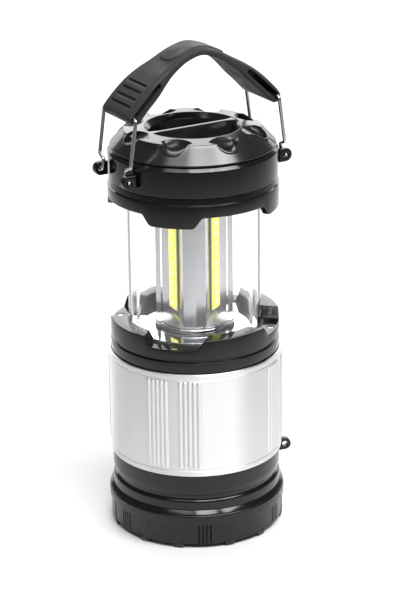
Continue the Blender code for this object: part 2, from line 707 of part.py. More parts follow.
def cap_housing(material):
    inner = WALL_RADIUS - WALL_THICKNESS
    profile = [
        (WALL_MOUTH, WALL_TOP_Z), (40.9, WALL_TOP_Z), (41.8, WALL_TOP_Z - 0.6),
        (WALL_RADIUS, WALL_SHOULDER_Z), (WALL_RADIUS, WALL_BOTTOM_Z), (inner, WALL_BOTTOM_Z),
        (inner, WALL_SHOULDER_Z - 1.2), (WALL_MOUTH, WALL_SHOULDER_Z - 1.2)]
    housing = turned("cap_housing", profile, material)
    for side_x in (-1, 1):
        for side_y in (-1, 1):
            boolean(housing, lug(side_x, side_y), "UNION")
    return housing


def cap_top(material):
    skin = 2.0
    foot = WALL_MOUTH - GAP
    foot_z = WALL_SHOULDER_Z - 1.2
    profile = [
        (0, DISH_FLOOR_Z), (18.0, DISH_FLOOR_Z), (21.6, DISH_FLOOR_Z + 2.2),
        (DISH_RADIUS - 0.6, DISH_RIM_Z - 1.6), (DISH_RADIUS, DISH_RIM_Z), (PLATE_RADIUS, PLATE_EDGE_Z),
        (PLATE_RADIUS + 1.2, PLATE_EDGE_Z - 1.2), (CONE_RADIUS, CONE_BOTTOM_Z + 0.6),
        (CONE_RADIUS, CONE_BOTTOM_Z), (foot, CONE_BOTTOM_Z), (foot, foot_z), (foot - skin, foot_z),
        (foot - skin, CONE_BOTTOM_Z - 0.4), (27.4, CONE_BOTTOM_Z - 0.4),
        (25.4, DISH_FLOOR_Z - skin + 1), (18.6, DISH_FLOOR_Z - skin), (0, DISH_FLOOR_Z - skin)]
    top = turned("cap_top", profile, material)
    half_x = DISH_RADIUS + 0.5
    low, high = DISH_FLOOR_Z - 1, DISH_RIM_Z - 0.3
    outline = [(-BAR_FOOT_WIDTH / 2, low), (BAR_FOOT_WIDTH / 2, low), (BAR_TOP_WIDTH / 2, high),
               (-BAR_TOP_WIDTH / 2, high)]
    boolean(top, plate("grip_bar", [outline], 2 * half_x, radial_frame(0, 0), cutter=True), "UNION")
    for index in range(SCALLOP_COUNT):
        boolean(top, scallop(index * 360 / SCALLOP_COUNT))
    return top


def scallop(angle_deg):
    """One of the scoops round the edge of the top, cut by a squashed ball."""
    radius, z = SCALLOP_CENTRE
    matrix = Matrix.Rotation(math.radians(angle_deg), 4, "Z")
    matrix = matrix @ Matrix.Translation(Vector((radius, 0, z)) * MM)
    matrix = matrix @ Matrix.Diagonal((*(Vector(SCALLOP_RADII) * MM), 1))
    bm = bmesh.new()
    bmesh.ops.create_uvsphere(bm, u_segments=12, v_segments=8, radius=1, matrix=matrix)
    return from_bmesh(f"scallop_{int(angle_deg)}", bm, cutter=True)


# ---- handle --------------------------------------------------------------------------------------


def bail(name, side, material):
    """A wire bail: a hook through each lug, a jog, a leg, and a bar across the strap's end."""
    pivot = Vector((side * PIVOT_X, 0, PIVOT_Z))
    top = Vector((side * BAIL_TOP[0], 0, BAIL_TOP[1]))
    up = (top - pivot).normalized()
    length = (top - pivot).length
    half = [(LUG_OUTER_Y + 0.5, 0), (BAIL_LOW_Y + 1.0, 0), (BAIL_LOW_Y + 0.3, 0.3), (BAIL_LOW_Y, 1.0),
            (BAIL_LOW_Y, BAIL_JOG[0] - 0.8), (BAIL_LOW_Y + 0.6, BAIL_JOG[0] + 0.1),
            (BAIL_HIGH_Y - 0.6, BAIL_JOG[1] - 0.1), (BAIL_HIGH_Y, BAIL_JOG[1] + 0.8),
            (BAIL_HIGH_Y, length - 1.6), (BAIL_HIGH_Y - 0.5, length - 0.5), (BAIL_HIGH_Y - 1.6, length)]
    route = [(-y, t) for y, t in half] + [(y, t) for y, t in reversed(half)]
    points = [pivot + up * t + Vector((0, y, 0)) for y, t in route]
    obj = wire(name, points, WIRE_RADIUS, pivot)
    return place(obj, material)


def strap_line():
    """Centre points of the strap as (x, z, half width, thickness), from its left end to its right."""
    half = [(41.6, 219.2, STRAP_END_HALF, 5.6), (*BAIL_TOP, STRAP_END_HALF, 7.4),
            (34.2, 226.8, STRAP_END_HALF, 7.6), (28.1, 232.4, 13.5, 7.4), (22.5, 237.1, 12.4, 6.0),
            (17.0, 240.9, 11.2, 4.7), (10.0, 245.0, STRAP_MID_HALF, 4.3),
            (4.0, 247.2, STRAP_MID_HALF, 4.1)]
    apex_thickness = 4.0
    apex = [(0, STRAP_APEX_Z - apex_thickness / 2, STRAP_MID_HALF, apex_thickness)]
    return [(-x, z, w, t) for x, z, w, t in half] + apex + list(reversed(half))


def grip_strap(material):
    """A loft of chamfered sections along the arch, with a slot through each thick end."""
    line = strap_line()
    pivot = Vector((-BAIL_TOP[0], 0, BAIL_TOP[1]))
    bm = bmesh.new()
    rings = []
    for i, (x, z, half, thick) in enumerate(line):
        before, after = line[max(i - 1, 0)], line[min(i + 1, len(line) - 1)]
        along = Vector((after[0] - before[0], 0, after[1] - before[1])).normalized()
        out = Vector((-along.z, 0, along.x))
        cut = 0.9
        section = [(-half, -thick / 2 + cut), (-half + cut, -thick / 2), (half - cut, -thick / 2),
                   (half, -thick / 2 + cut), (half, thick / 2 - cut), (half - cut, thick / 2),
                   (-half + cut, thick / 2), (-half, thick / 2 - cut)]
        centre = Vector((x, 0, z)) - pivot
        rings.append([bm.verts.new((centre + Vector((0, y, 0)) + out * h) * MM)
                      for y, h in section])
    for ring, following in zip(rings, rings[1:]):
        for i in range(len(ring)):
            j = (i + 1) % len(ring)
            bm.faces.new((ring[i], ring[j], following[j], following[i]))
    bm.faces.new(rings[0])
    bm.faces.new(rings[-1])
    bmesh.ops.recalc_face_normals(bm, faces=bm.faces)
    strap = from_bmesh("grip_strap", bm, material)
    strap.location = pivot * MM
    for side in (-1, 1):
        boolean(strap, strap_slot(side))
    return strap


def strap_slot(side):
    """The long slot in which the bail's bar sits, cut right across the strap."""
    start, end = Vector(BAIL_TOP), Vector(STRAP_SLOT_END)
    along = math.degrees(math.atan2(end.y - start.y, end.x - start.x))
    radius = STRAP_SLOT / 2
    outline = arc(start, radius, along + 90, along + 270, 6)
    outline += arc(end, radius, along - 90, along + 90, 6)
    matrix = Matrix.Rotation(math.pi / 2, 4, "X")
    if side < 0:
        outline = [(-x, z) for x, z in reversed(outline)]
    name = "slot_right" if side > 0 else "slot_left"
    return plate(name, [outline], 2 * STRAP_END_HALF + 4, matrix, cutter=True)


# ---- the lantern ---------------------------------------------------------------------------------


def build():
    black = new_material("black_plastic", (0.02, 0.02, 0.022), 0.28)
    gloss = new_material("gunmetal_plastic", (0.06, 0.06, 0.065), 0.16, 0.6)
    steel = new_material("sleeve_metal", (0.8, 0.8, 0.82), 0.3, 1.0)
    bright = new_material("steel_wire", (0.75, 0.75, 0.76), 0.2, 1.0)
    chrome = new_material("chrome_reflector", (0.9, 0.9, 0.92), 0.08, 1.0)
    clear = new_material("clear_plastic", (0.97, 0.98, 1.0), 0.03, 0.0, 1.0)
    lit = new_material("lit_phosphor", (1.0, 0.93, 0.35), 0.5, glow=3.0)
    board = new_material("board_white", (0.85, 0.85, 0.9), 0.4)
    brass = new_material("brass", (0.8, 0.62, 0.3), 0.3, 1.0)
    rubber = new_material("rubber", (0.05, 0.05, 0.05), 0.75)
    cell = new_material("cell_jacket", (0.12, 0.13, 0.15), 0.35)
    green = new_material("board_green", (0.03, 0.2, 0.08), 0.5)
    inner = new_material("inner_plastic", (0.08, 0.08, 0.085), 0.5)

    base_cap(black)
    base_seal(rubber)
    lower_housing(black)
    metal_sleeve(steel)
    collar_ring(black)
    for index in range(len(TAB_ANGLES)):
        collar_screw(index, bright)
    battery_tray(inner)
    for index in range(len(CELL_X)):
        battery_cell(index, cell)
        contact_spring(index, bright)
    contact_plates(bright)
    contact_rails(brass)

    tube_carrier(inner)
    friction_ring(rubber)
    wiper_contacts(brass)
    clear_tube(clear)
    disc("floor_reflector", TUBE_RADIUS - TUBE_WALL - GAP, (FLOOR_Z, FLOOR_Z + FLOOR_THICKNESS),
         chrome, bore=5.4)
    disc("column_base", COLUMN_DISC_RADIUS, COLUMN_DISC_Z, chrome, bore=5.4)
    reflector_column(chrome)
    light_strips(board, lit)
    disc("top_reflector", TUBE_RADIUS - TUBE_WALL - GAP, (181.0, 182.0), chrome, bore=5.4)
    disc("driver_board", DRIVER_RADIUS, DRIVER_Z, green)
    lead_wires(rubber)

    cap_skirt(black)
    cap_housing(black)
    cap_top(gloss)

    bail("bail_left", -1, bright)
    bail("bail_right", 1, bright)
    grip_strap(rubber)
    for obj in PARTS.objects:
        smooth(obj)


clear_scene()
PARTS = new_collection("camping_lantern")
CUTTERS = new_collection("cutters")
build()
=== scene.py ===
"""Looks of the collapsible camping lantern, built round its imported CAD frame.

Lengths are in millimetres until a mesh is made, where MM turns them into metres. The frame is the CAD
model's own: +Z up, +X along the handle, the origin in the middle of the footprint, on the ground.
"""

import json
import math

import bmesh
import bpy
from mathutils import Matrix, Vector

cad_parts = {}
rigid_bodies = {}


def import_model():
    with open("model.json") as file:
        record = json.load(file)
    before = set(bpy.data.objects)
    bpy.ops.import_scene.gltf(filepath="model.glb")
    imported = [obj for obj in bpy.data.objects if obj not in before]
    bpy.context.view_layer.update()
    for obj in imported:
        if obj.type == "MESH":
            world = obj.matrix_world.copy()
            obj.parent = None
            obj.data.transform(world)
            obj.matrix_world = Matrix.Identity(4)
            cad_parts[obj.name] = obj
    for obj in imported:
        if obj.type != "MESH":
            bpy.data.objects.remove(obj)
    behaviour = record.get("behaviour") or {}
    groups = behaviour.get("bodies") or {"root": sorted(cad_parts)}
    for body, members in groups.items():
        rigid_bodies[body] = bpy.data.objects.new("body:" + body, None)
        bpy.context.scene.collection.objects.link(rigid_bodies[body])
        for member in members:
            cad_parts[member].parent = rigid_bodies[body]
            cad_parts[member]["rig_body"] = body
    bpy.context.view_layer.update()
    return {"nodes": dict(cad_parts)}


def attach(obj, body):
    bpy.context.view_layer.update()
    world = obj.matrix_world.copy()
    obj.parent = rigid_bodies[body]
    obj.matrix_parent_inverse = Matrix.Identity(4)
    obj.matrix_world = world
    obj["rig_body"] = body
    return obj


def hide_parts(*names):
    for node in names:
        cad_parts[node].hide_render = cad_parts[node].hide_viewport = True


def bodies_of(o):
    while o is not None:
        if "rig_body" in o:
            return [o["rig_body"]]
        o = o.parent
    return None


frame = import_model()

MM = 0.001
NODES = frame["nodes"]

TAB_ANGLES = (45, 135, 225, 315)
RIB_ANGLES = (0, 120, 240)
NICHE_ANGLES = (60, 180, 300)

# Heights and radii that several pieces share.
FOOT_HEIGHT = 2.0
BAND_RADIUS = 42.9
FLARE_RADIUS = 44.7
RIM_RADIUS = 45.0
SLEEVE_RADIUS = 43.7
SLEEVE_Z = (39.4, 94.0)
COLLAR_RADIUS = 42.6
COLLAR_BORE = 34.1
COLLAR_TOP_Z = 111.3
NOTCH_FLOOR_Z = 106.1
NOTCH_TOP_HALF = 15.2
NOTCH_FLOOR_HALF = 11.6
TUBE_RADIUS = 33.3
TUBE_BORE = 31.7
TUBE_Z = (105.5, 182.9)
SKIRT_RADIUS = 42.5
SKIRT_BOTTOM_Z = 174.3
TAB_BOTTOM_Z = 168.8
WALL_RADIUS = 42.1
DISH_RADIUS = 24.0
DISH_RIM_Z = 208.7
DISH_FLOOR_Z = 198.9
PLATE_RADIUS = 33.5
PLATE_EDGE_Z = 208.0
CONE_RADIUS = 41.0
CONE_EDGE_Z = 200.1
CONE_BOTTOM_Z = 199.5
CONE_TOP = (34.7, 206.9)
STRIP_Z = (115.8, 179.2)
STRIP_FACE = 13.2
LED_PITCH = 5.2
PIVOT_X = 44.3
PIVOT_Z = 190.3
BAIL_TOP = (40.0, 220.8)
WIRE_RADIUS = 0.9


# ---- helpers: outlines ---------------------------------------------------------------------------


def rounded(corners, closed=True, steps=6):
    """An outline through corners (x, y, radius), each turned into an arc of its radius."""
    points = []
    count = len(corners)
    for i, (x, y, radius) in enumerate(corners):
        here = Vector((x, y))
        at_end = not closed and i in (0, count - 1)
        if radius == 0 or at_end:
            points.append(here)
            continue
        before = (Vector(corners[i - 1][:2]) - here).normalized()
        after = (Vector(corners[(i + 1) % count][:2]) - here).normalized()
        half = before.angle(after) / 2
        centre = here + (before + after).normalized() * radius / math.sin(half)
        start = here + before * radius / math.tan(half) - centre
        end = here + after * radius / math.tan(half) - centre
        sweep = start.angle_signed(end)
        for step in range(steps + 1):
            turn = Matrix.Rotation(-sweep * step / steps, 2)
            points.append(centre + turn @ start)
    return points


def span(start, end, steps):
    return [start + (end - start) * i / steps for i in range(steps + 1)]


def polar(radius, degree):
    angle = math.radians(degree)
    return radius * math.cos(angle), radius * math.sin(angle)


def arc(centre, radius, start_deg, end_deg, steps):
    """Points along an arc, with both of its ends."""
    points = [polar(radius, degree) for degree in span(start_deg, end_deg, steps)]
    return [(centre[0] + x, centre[1] + y) for x, y in points]


def circle(centre, radius, sides=24):
    return arc(centre, radius, 0, 360 * (sides - 1) / sides, sides - 1)


def subdivided(line, spacing):
    """A line with points added along it, about the spacing apart."""
    points = []
    for start, end in zip(line, line[1:]):
        steps = max(1, round((end - start).length / spacing))
        points += [start.lerp(end, i / steps) for i in range(steps)]
    return points + [line[-1]]


def with_details(details, reach, fine, coarse):
    """Angles round a full turn, in degrees: fine steps within reach of each detail, coarse elsewhere."""
    edges = sorted((d - reach, d + reach) for d in details)
    angles = []
    for i, (low, high) in enumerate(edges):
        following = edges[(i + 1) % len(edges)][0] + (360 if i == len(edges) - 1 else 0)
        angles += span(low, high, max(1, round((high - low) / fine)))[:-1]
        angles += span(high, following, max(1, round((following - high) / coarse)))[:-1]
    return angles


def smooth_step(low, high, value):
    t = min(1, max(0, (value - low) / (high - low)))
    return t * t * (3 - 2 * t)


def off_nearest(degree, marks):
    """How many degrees an angle is from the nearest of some others."""
    return min(abs((degree - mark + 180) % 360 - 180) for mark in marks)


# ---- helpers: meshes -----------------------------------------------------------------------------


def body_of(node):
    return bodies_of(NODES[node])[0]


def add_piece(name, mesh, material, body, replaces=(), sharp_deg=38):
    """Makes a mesh a piece of the lantern that rides on a body."""
    obj = bpy.data.objects.new(name, mesh)
    bpy.context.scene.collection.objects.link(obj)
    mesh.materials.clear()
    mesh.materials.append(material)
    mesh.shade_smooth()
    mesh.set_sharp_from_angle(angle=math.radians(sharp_deg))
    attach(obj, body)
    if replaces:
        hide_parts(*replaces)
    return obj


def finished_mesh(name, bm):
    """Closes a hand-built mesh: merges its poles and turns its faces outwards."""
    bmesh.ops.remove_doubles(bm, verts=bm.verts, dist=0.000002)
    bmesh.ops.recalc_face_normals(bm, faces=bm.faces)
    mesh = bpy.data.meshes.new(name)
    bm.to_mesh(mesh)
    bm.free()
    return mesh


def skinned(rows, closed_rows=True, closed_ring=True):
    """Skins rows of points with quads. A ring closes each row, and closed rows join last to first."""
    bm = bmesh.new()
    made = [[bm.verts.new(Vector(point) * MM) for point in row] for row in rows]
    pairs = list(zip(made, made[1:]))
    if closed_rows:
        pairs.append((made[-1], made[0]))
    for row, following in pairs:
        count = len(row)
        for i in range(count if closed_ring else count - 1):
            j = (i + 1) % count
            bm.faces.new((row[i], row[j], following[j], following[i]))
    return bm


def capped(rows):
    """Skins rows of points from the first to the last, and closes both ends."""
    bm = skinned(rows, closed_rows=False)
    bm.verts.ensure_lookup_table()
    ring = len(rows[0])
    bm.faces.new([bm.verts[i] for i in range(ring)])
    bm.faces.new([bm.verts[len(bm.verts) - 1 - i] for i in range(ring)])
    return bm


def turned(name, outline, angles=120, shape=None):
    """Turns an outline of (radius, height) about Z. A shape may move each point by its angle."""
    degrees = angles if isinstance(angles, list) else [360 * i / angles for i in range(angles)]
    on_axis = outline[0][0] == 0 and outline[-1][0] == 0
    rows = []
    for degree in degrees:
        section = [shape(degree, r, z) for r, z in outline] if shape else outline
        rows.append([(*polar(r, degree), z) for r, z in section])
    return finished_mesh(name, skinned(rows, closed_ring=not on_axis))


def notched_ring(name, section, edge, between=26):
    """A ring with one edge that dips or hangs at each tab. The edge is a line of (x, z) across a tab,
    and section(z) is the ring's closed section where its edge is at height z."""
    sections = {z: section(z) for _, z in edge}
    flat = sections[edge[-1][1]]
    rows = []
    for tab in TAB_ANGLES:
        for x, z in edge:
            rows.append([(r, tab + math.degrees(math.asin(x / r)), h) for r, h in sections[z]])
        for i in range(1, between):
            row = []
            for r, h in flat:
                start = math.degrees(math.asin(edge[-1][0] / r))
                row.append((r, tab + start + (90 - 2 * start) * i / between, h))
            rows.append(row)
    points = [[(*polar(r, degree), h) for r, degree, h in row] for row in rows]
    return finished_mesh(name, skinned(points))


def tab_edge(top_half, floor_half, far_z, near_z, floor_round, top_round):
    """The line of a notch or a tab: a flat middle, a slope on each side and a short run beyond."""
    run = 2.5
    half = [(floor_half, near_z, floor_round), (top_half, far_z, top_round), (top_half + run, far_z, 0)]
    corners = [(-x, z, radius) for x, z, radius in reversed(half)] + [(0, near_z, 0)] + half
    return subdivided(rounded(corners, closed=False, steps=7), 1.6)


def plate(name, outlines, thickness, matrix, bevel):
    """A flat outline, with any holes in it, made thick with rounded edges and set in place."""
    curve = bpy.data.curves.new(name, "CURVE")
    curve.dimensions = "2D"
    curve.fill_mode = "BOTH"
    curve.extrude = (thickness / 2 - bevel) * MM
    curve.bevel_depth = bevel * MM
    curve.bevel_resolution = 3
    curve.offset = -bevel * MM
    for outline in outlines:
        spline = curve.splines.new("POLY")
        spline.points.add(len(outline) - 1)
        for point, (x, y) in zip(spline.points, outline):
            point.co = (x * MM, y * MM, 0, 1)
        spline.use_cyclic_u = True
    obj = bpy.data.objects.new(name, curve)
    bpy.context.scene.collection.objects.link(obj)
    graph = bpy.context.evaluated_depsgraph_get()
    flat = bpy.data.meshes.new_from_object(obj.evaluated_get(graph))
    bpy.data.objects.remove(obj, do_unlink=True)
    bm = bmesh.new()
    bm.from_mesh(flat)
    bmesh.ops.transform(bm, matrix=matrix, verts=bm.verts)
    return finished_mesh(name, bm)


def wire_mesh(name, points, normal, radius, sides=14, dome_rings=4):
    """A round wire along a flat route, with domed ends. The normal is that of the route's plane."""
    tip = 0.02

    def ring(centre, along, scale=1):
        across = normal.cross(along)
        turns = [2 * math.pi * i / sides for i in range(sides)]
        return [centre + (normal * math.cos(a) + across * math.sin(a)) * radius * scale for a in turns]

    def dome(end, along, outward):
        rings = []
        for k in range(dome_rings):
            a = math.pi / 2 * k / dome_rings
            centre = end + along * outward * radius * math.cos(a)
            rings.append(ring(centre, along, max(math.sin(a), tip)))
        return rings

    before, after = points[:1] + points[:-1], points[1:] + points[-1:]
    ways = [(b - a).normalized() for a, b in zip(before, after)]
    rows = dome(points[0], ways[0], -1)
    rows += [ring(point, along) for point, along in zip(points, ways)]
    rows += reversed(dome(points[-1], ways[-1], 1))
    return finished_mesh(name, capped(rows))


def cut(mesh, cutters):
    """Takes other meshes out of a mesh."""
    obj = bpy.data.objects.new("cut_target", mesh)
    bpy.context.scene.collection.objects.link(obj)
    tools = []
    for cutter in cutters:
        tool = bpy.data.objects.new("cut_tool", cutter)
        bpy.context.scene.collection.objects.link(tool)
        modifier = obj.modifiers.new("Cut", "BOOLEAN")
        modifier.operation = "DIFFERENCE"
        modifier.object = tool
        tools.append(tool)
    graph = bpy.context.evaluated_depsgraph_get()
    result = bpy.data.meshes.new_from_object(obj.evaluated_get(graph))
    result.name = mesh.name + "_cut"
    for item in [obj] + tools:
        bpy.data.objects.remove(item, do_unlink=True)
    return result


# ---- materials -----------------------------------------------------------------------------------

# Flat faces have a pointiness of 0.5. Edges wear in over this range, to twice the colour and the lift.
WORN_POINTINESS = (0.53, 0.62)
WORN_LIFT = 0.06


def drifting_colour(nodes, links, slow, colour, tint, wear):
    """A colour that drifts with the slow noise, and is paler on worn edges."""
    drift = nodes.new("ShaderNodeMix")
    drift.data_type = "RGBA"
    drift.inputs["A"].default_value = (*(c * (1 - tint) for c in colour), 1)
    drift.inputs["B"].default_value = (*(min(1, c * (1 + tint)) for c in colour), 1)
    links.new(slow.outputs["Fac"], drift.inputs["Factor"])
    result = drift
    if wear:
        edges = nodes.new("ShaderNodeNewGeometry")
        worn = nodes.new("ShaderNodeMapRange")
        worn.inputs["From Min"].default_value = WORN_POINTINESS[0]
        worn.inputs["From Max"].default_value = WORN_POINTINESS[1]
        worn.inputs["To Max"].default_value = wear
        links.new(edges.outputs["Pointiness"], worn.inputs["Value"])
        result = nodes.new("ShaderNodeMix")
        result.data_type = "RGBA"
        result.inputs["B"].default_value = (*(min(1, c * 2 + WORN_LIFT) for c in colour), 1)
        links.new(worn.outputs["Result"], result.inputs["Factor"])
        links.new(drift.outputs["Result"], result.inputs["A"])
    return result.outputs["Result"]


def surface(name, colour, roughness, metallic=0.0, grain=700.0, bump=0.05, tint=0.25, uneven=0.2,
            stretch=(1, 1, 1), wear=0.0, **sockets):
    """A moulded, rolled or turned surface: fine grain in its bump, a slow drift in its colour, uneven
    roughness, and edges that wear lighter. Without a tint its colour is the same all over."""
    material = bpy.data.materials.new(name)
    material.use_nodes = True
    nodes, links = material.node_tree.nodes, material.node_tree.links
    shader = nodes["Principled BSDF"]
    shader.inputs["Metallic"].default_value = metallic
    for socket, value in sockets.items():
        shader.inputs[socket.replace("_", " ")].default_value = value

    place = nodes.new("ShaderNodeTexCoord")
    scale = nodes.new("ShaderNodeMapping")
    scale.inputs["Scale"].default_value = stretch
    links.new(place.outputs["Object"], scale.inputs["Vector"])
    fine = nodes.new("ShaderNodeTexNoise")
    fine.inputs["Scale"].default_value = grain
    fine.inputs["Detail"].default_value = 3.0
    slow = nodes.new("ShaderNodeTexNoise")
    slow.inputs["Scale"].default_value = grain / 14
    slow.inputs["Detail"].default_value = 4.0
    for noise in (fine, slow):
        links.new(scale.outputs["Vector"], noise.inputs["Vector"])

    if tint:
        colours = drifting_colour(nodes, links, slow, colour, tint, wear)
        links.new(colours, shader.inputs["Base Color"])
    else:
        shader.inputs["Base Color"].default_value = (*colour, 1)

    rough = nodes.new("ShaderNodeMapRange")
    rough.inputs["From Min"].default_value = 0.3
    rough.inputs["From Max"].default_value = 0.7
    rough.inputs["To Min"].default_value = roughness * (1 - uneven)
    rough.inputs["To Max"].default_value = roughness * (1 + uneven)
    links.new(slow.outputs["Fac"], rough.inputs["Value"])
    links.new(rough.outputs["Result"], shader.inputs["Roughness"])

    relief = nodes.new("ShaderNodeBump")
    relief.inputs["Strength"].default_value = bump
    relief.inputs["Distance"].default_value = 0.0002
    links.new(fine.outputs["Fac"], relief.inputs["Height"])
    links.new(relief.outputs["Normal"], shader.inputs["Normal"])
    return material


def glowing(name, colour, core, strength, pitch):
    """A phosphor gel that glows, paler over each of the emitters beneath it."""
    material = surface(name, colour, 0.45, grain=900, bump=0.1)
    nodes, links = material.node_tree.nodes, material.node_tree.links
    shader = nodes["Principled BSDF"]
    place = nodes.new("ShaderNodeTexCoord")
    wave = nodes.new("ShaderNodeTexWave")
    wave.bands_direction = "Z"
    # At a scale of 1, this texture's bands are pi / 10 apart.
    wave.inputs["Scale"].default_value = math.pi / 10 / (pitch * MM)
    wave.inputs["Phase Offset"].default_value = -math.pi / 2
    wave.inputs["Distortion"].default_value = 0.0
    shift = nodes.new("ShaderNodeMapping")
    shift.inputs["Location"].default_value = (0, 0, -(STRIP_Z[0] + pitch / 2) * MM)
    links.new(place.outputs["Object"], shift.inputs["Vector"])
    links.new(shift.outputs["Vector"], wave.inputs["Vector"])
    mix = nodes.new("ShaderNodeMix")
    mix.data_type = "RGBA"
    mix.inputs["A"].default_value = (*colour, 1)
    mix.inputs["B"].default_value = (*core, 1)
    links.new(wave.outputs["Fac"], mix.inputs["Factor"])
    links.new(mix.outputs["Result"], shader.inputs["Emission Color"])
    shader.inputs["Emission Strength"].default_value = strength
    return material


BLACK = surface("black_plastic", (0.005, 0.005, 0.0055), 0.13, grain=900, bump=0.02, wear=0.06,
                Specular_IOR_Level=0.44)
SATIN = surface("satin_black", (0.006, 0.006, 0.0065), 0.27, grain=1500, bump=0.1, wear=0.08,
                Specular_IOR_Level=0.42)
GLOSS = surface("gloss_black", (0.009, 0.009, 0.010), 0.19, grain=900, bump=0.01, tint=0.3, wear=0.1,
                uneven=0.1, IOR=1.6)
RUBBER = surface("rubber", (0.03, 0.03, 0.031), 0.6, grain=1900, bump=0.25, tint=0.12, wear=0.1,
                 Specular_IOR_Level=0.25)
SLEEVE = surface("sleeve_metal", (0.90, 0.90, 0.91), 0.42, metallic=1.0, grain=1500, bump=0.006,
                 tint=0.02, uneven=0.05, stretch=(1, 1, 0.03), Anisotropic=0.9,
                 Anisotropic_Rotation=0.25)
STEEL = surface("steel_wire", (0.62, 0.62, 0.63), 0.16, metallic=1.0, grain=900, bump=0.03, tint=0.08,
                stretch=(1, 1, 0.2))
CHROME = surface("chrome", (0.86, 0.87, 0.89), 0.07, metallic=1.0, grain=160, bump=0.02, tint=0.02)
COLUMN = surface("column_metal", (0.84, 0.84, 0.88), 0.2, metallic=0.7, grain=900, bump=0.03,
                 tint=0.03, stretch=(1, 1, 0.05))
PETAL = surface("petal_metal", (0.80, 0.80, 0.83), 0.25, metallic=0.8, grain=600, bump=0.03, tint=0.03)
CLEAR = surface("clear_plastic", (1.0, 1.0, 1.0), 0.015, grain=40, bump=0.004, tint=0.0, uneven=0.3,
                Transmission_Weight=1.0, IOR=1.46)
BOARD = surface("board_white", (0.78, 0.78, 0.80), 0.4, grain=1200, bump=0.06, tint=0.04)
GEL = glowing("lit_phosphor", (1.0, 0.98, 0.17), (1.0, 0.98, 0.3), 0.8, LED_PITCH)
CORE = glowing("lit_core", (1.0, 0.97, 0.66), (1.0, 0.97, 0.74), 0.95, LED_PITCH)
BRASS = surface("brass", (0.72, 0.53, 0.22), 0.28, metallic=1.0, grain=800, bump=0.06, tint=0.12)
JACKET = surface("cell_jacket", (0.10, 0.11, 0.13), 0.32, grain=300, bump=0.03)
GREEN = surface("board_green", (0.02, 0.17, 0.07), 0.42, grain=600, bump=0.08)
INNER = surface("inner_plastic", (0.05, 0.05, 0.053), 0.45, grain=1300, bump=0.12)


# ---- base ----------------------------------------------------------------------------------------

GROUP_MIDDLES = [5 + 60 * i for i in range(6)]


def base_cap():
    """The ring: a plain rim, and below it a wall with groups of fine upright grooves, with raised pads
    between the groups over the feet."""
    radius, inner, edge = 44.2, 41.6, 0.5
    floor_z, rim_z = FOOT_HEIGHT + 2.4, (12.9, 18.4)
    groove_step, groove_half, groove_depth = 2.6, 0.42, 0.75
    groove_z = (2.4, rim_z[0])
    grooves = [m + (i - 1.5) * groove_step for m in GROUP_MIDDLES for i in range(4)]
    pad_half, pad_step, pad_blend = 13.2, 0.3, 0.25
    lean_z, lean_per_mm = 8, 0.25
    pad_middles = [m + 30 for m in GROUP_MIDDLES]
    foot_offset = 12.8

    def shape(degree, r, z):
        if r < radius - 0.6 or z > groove_z[1]:
            return r, z
        across = math.radians(off_nearest(degree, grooves)) * radius
        beyond = max(0, z - (groove_z[1] - groove_half), groove_z[0] + groove_half - z)
        reach = math.hypot(across, beyond) / groove_half
        dip = groove_depth * math.sqrt(1 - reach * reach) if reach < 1 else 0
        off = off_nearest(degree, pad_middles) + max(0, z - lean_z) * lean_per_mm
        off_pad = smooth_step(pad_half - pad_blend, pad_half + pad_blend, off)
        return r - dip - pad_step * off_pad, z

    outline = rounded([
        (0, floor_z, 0), (inner, floor_z, 0.3), (inner, rim_z[1], 0.2), (RIM_RADIUS, rim_z[1], 1.1),
        (RIM_RADIUS, rim_z[0], 0.35), (radius, rim_z[0] - 0.1, 0.15), (radius, 12.3, 0)], closed=False)
    # The wall's points lie closer together at the round ends of the grooves.
    for high, low, steps in ((12.0, 10.9, 6), (10.4, 3.6, 7), (3.3, 2.6, 3)):
        outline += [(radius, z) for z in span(high, low, steps)]
    outline += arc((radius - edge, FOOT_HEIGHT + edge), edge, 0, -90, 4) + [(0, FOOT_HEIGHT)]
    details = grooves + [p + side * pad_half for p in pad_middles for side in (-1, 1)]
    angles = with_details(details, reach=1.1, fine=0.11, coarse=1.5)
    mesh = turned("base_cap_ring", outline, angles, shape)
    add_piece("base_cap_ring", mesh, SATIN, body_of("base_cap"), ["base_cap"])
    for index, middle in enumerate(pad_middles):
        foot(f"base_foot_{2 * index + 1}", middle - foot_offset)
        foot(f"base_foot_{2 * index + 2}", middle + foot_offset)


def foot(name, degree):
    """A moulded foot under the ring, narrower at the ground, with its top sunk in the ring."""
    middle, half_x, half_y, corner = 42.0, 2.2, 2.7, 0.6
    taper, edge, sunk = 0.35, 0.25, 0.6
    rows = []
    for z, grow in ((0, -taper - edge), (edge, -taper), (FOOT_HEIGHT, 0), (FOOT_HEIGHT + sunk, 0)):
        corners = [(sx * (half_x + grow), sy * (half_y + grow), corner)
                   for sx, sy in ((-1, -1), (1, -1), (1, 1), (-1, 1))]
        rows.append([(middle + x, y, z) for x, y in rounded(corners, steps=4)])
    bm = capped(rows)
    bmesh.ops.rotate(bm, matrix=Matrix.Rotation(math.radians(degree), 3, "Z"), verts=bm.verts)
    add_piece(name, finished_mesh(name, bm), SATIN, body_of("base_cap"))


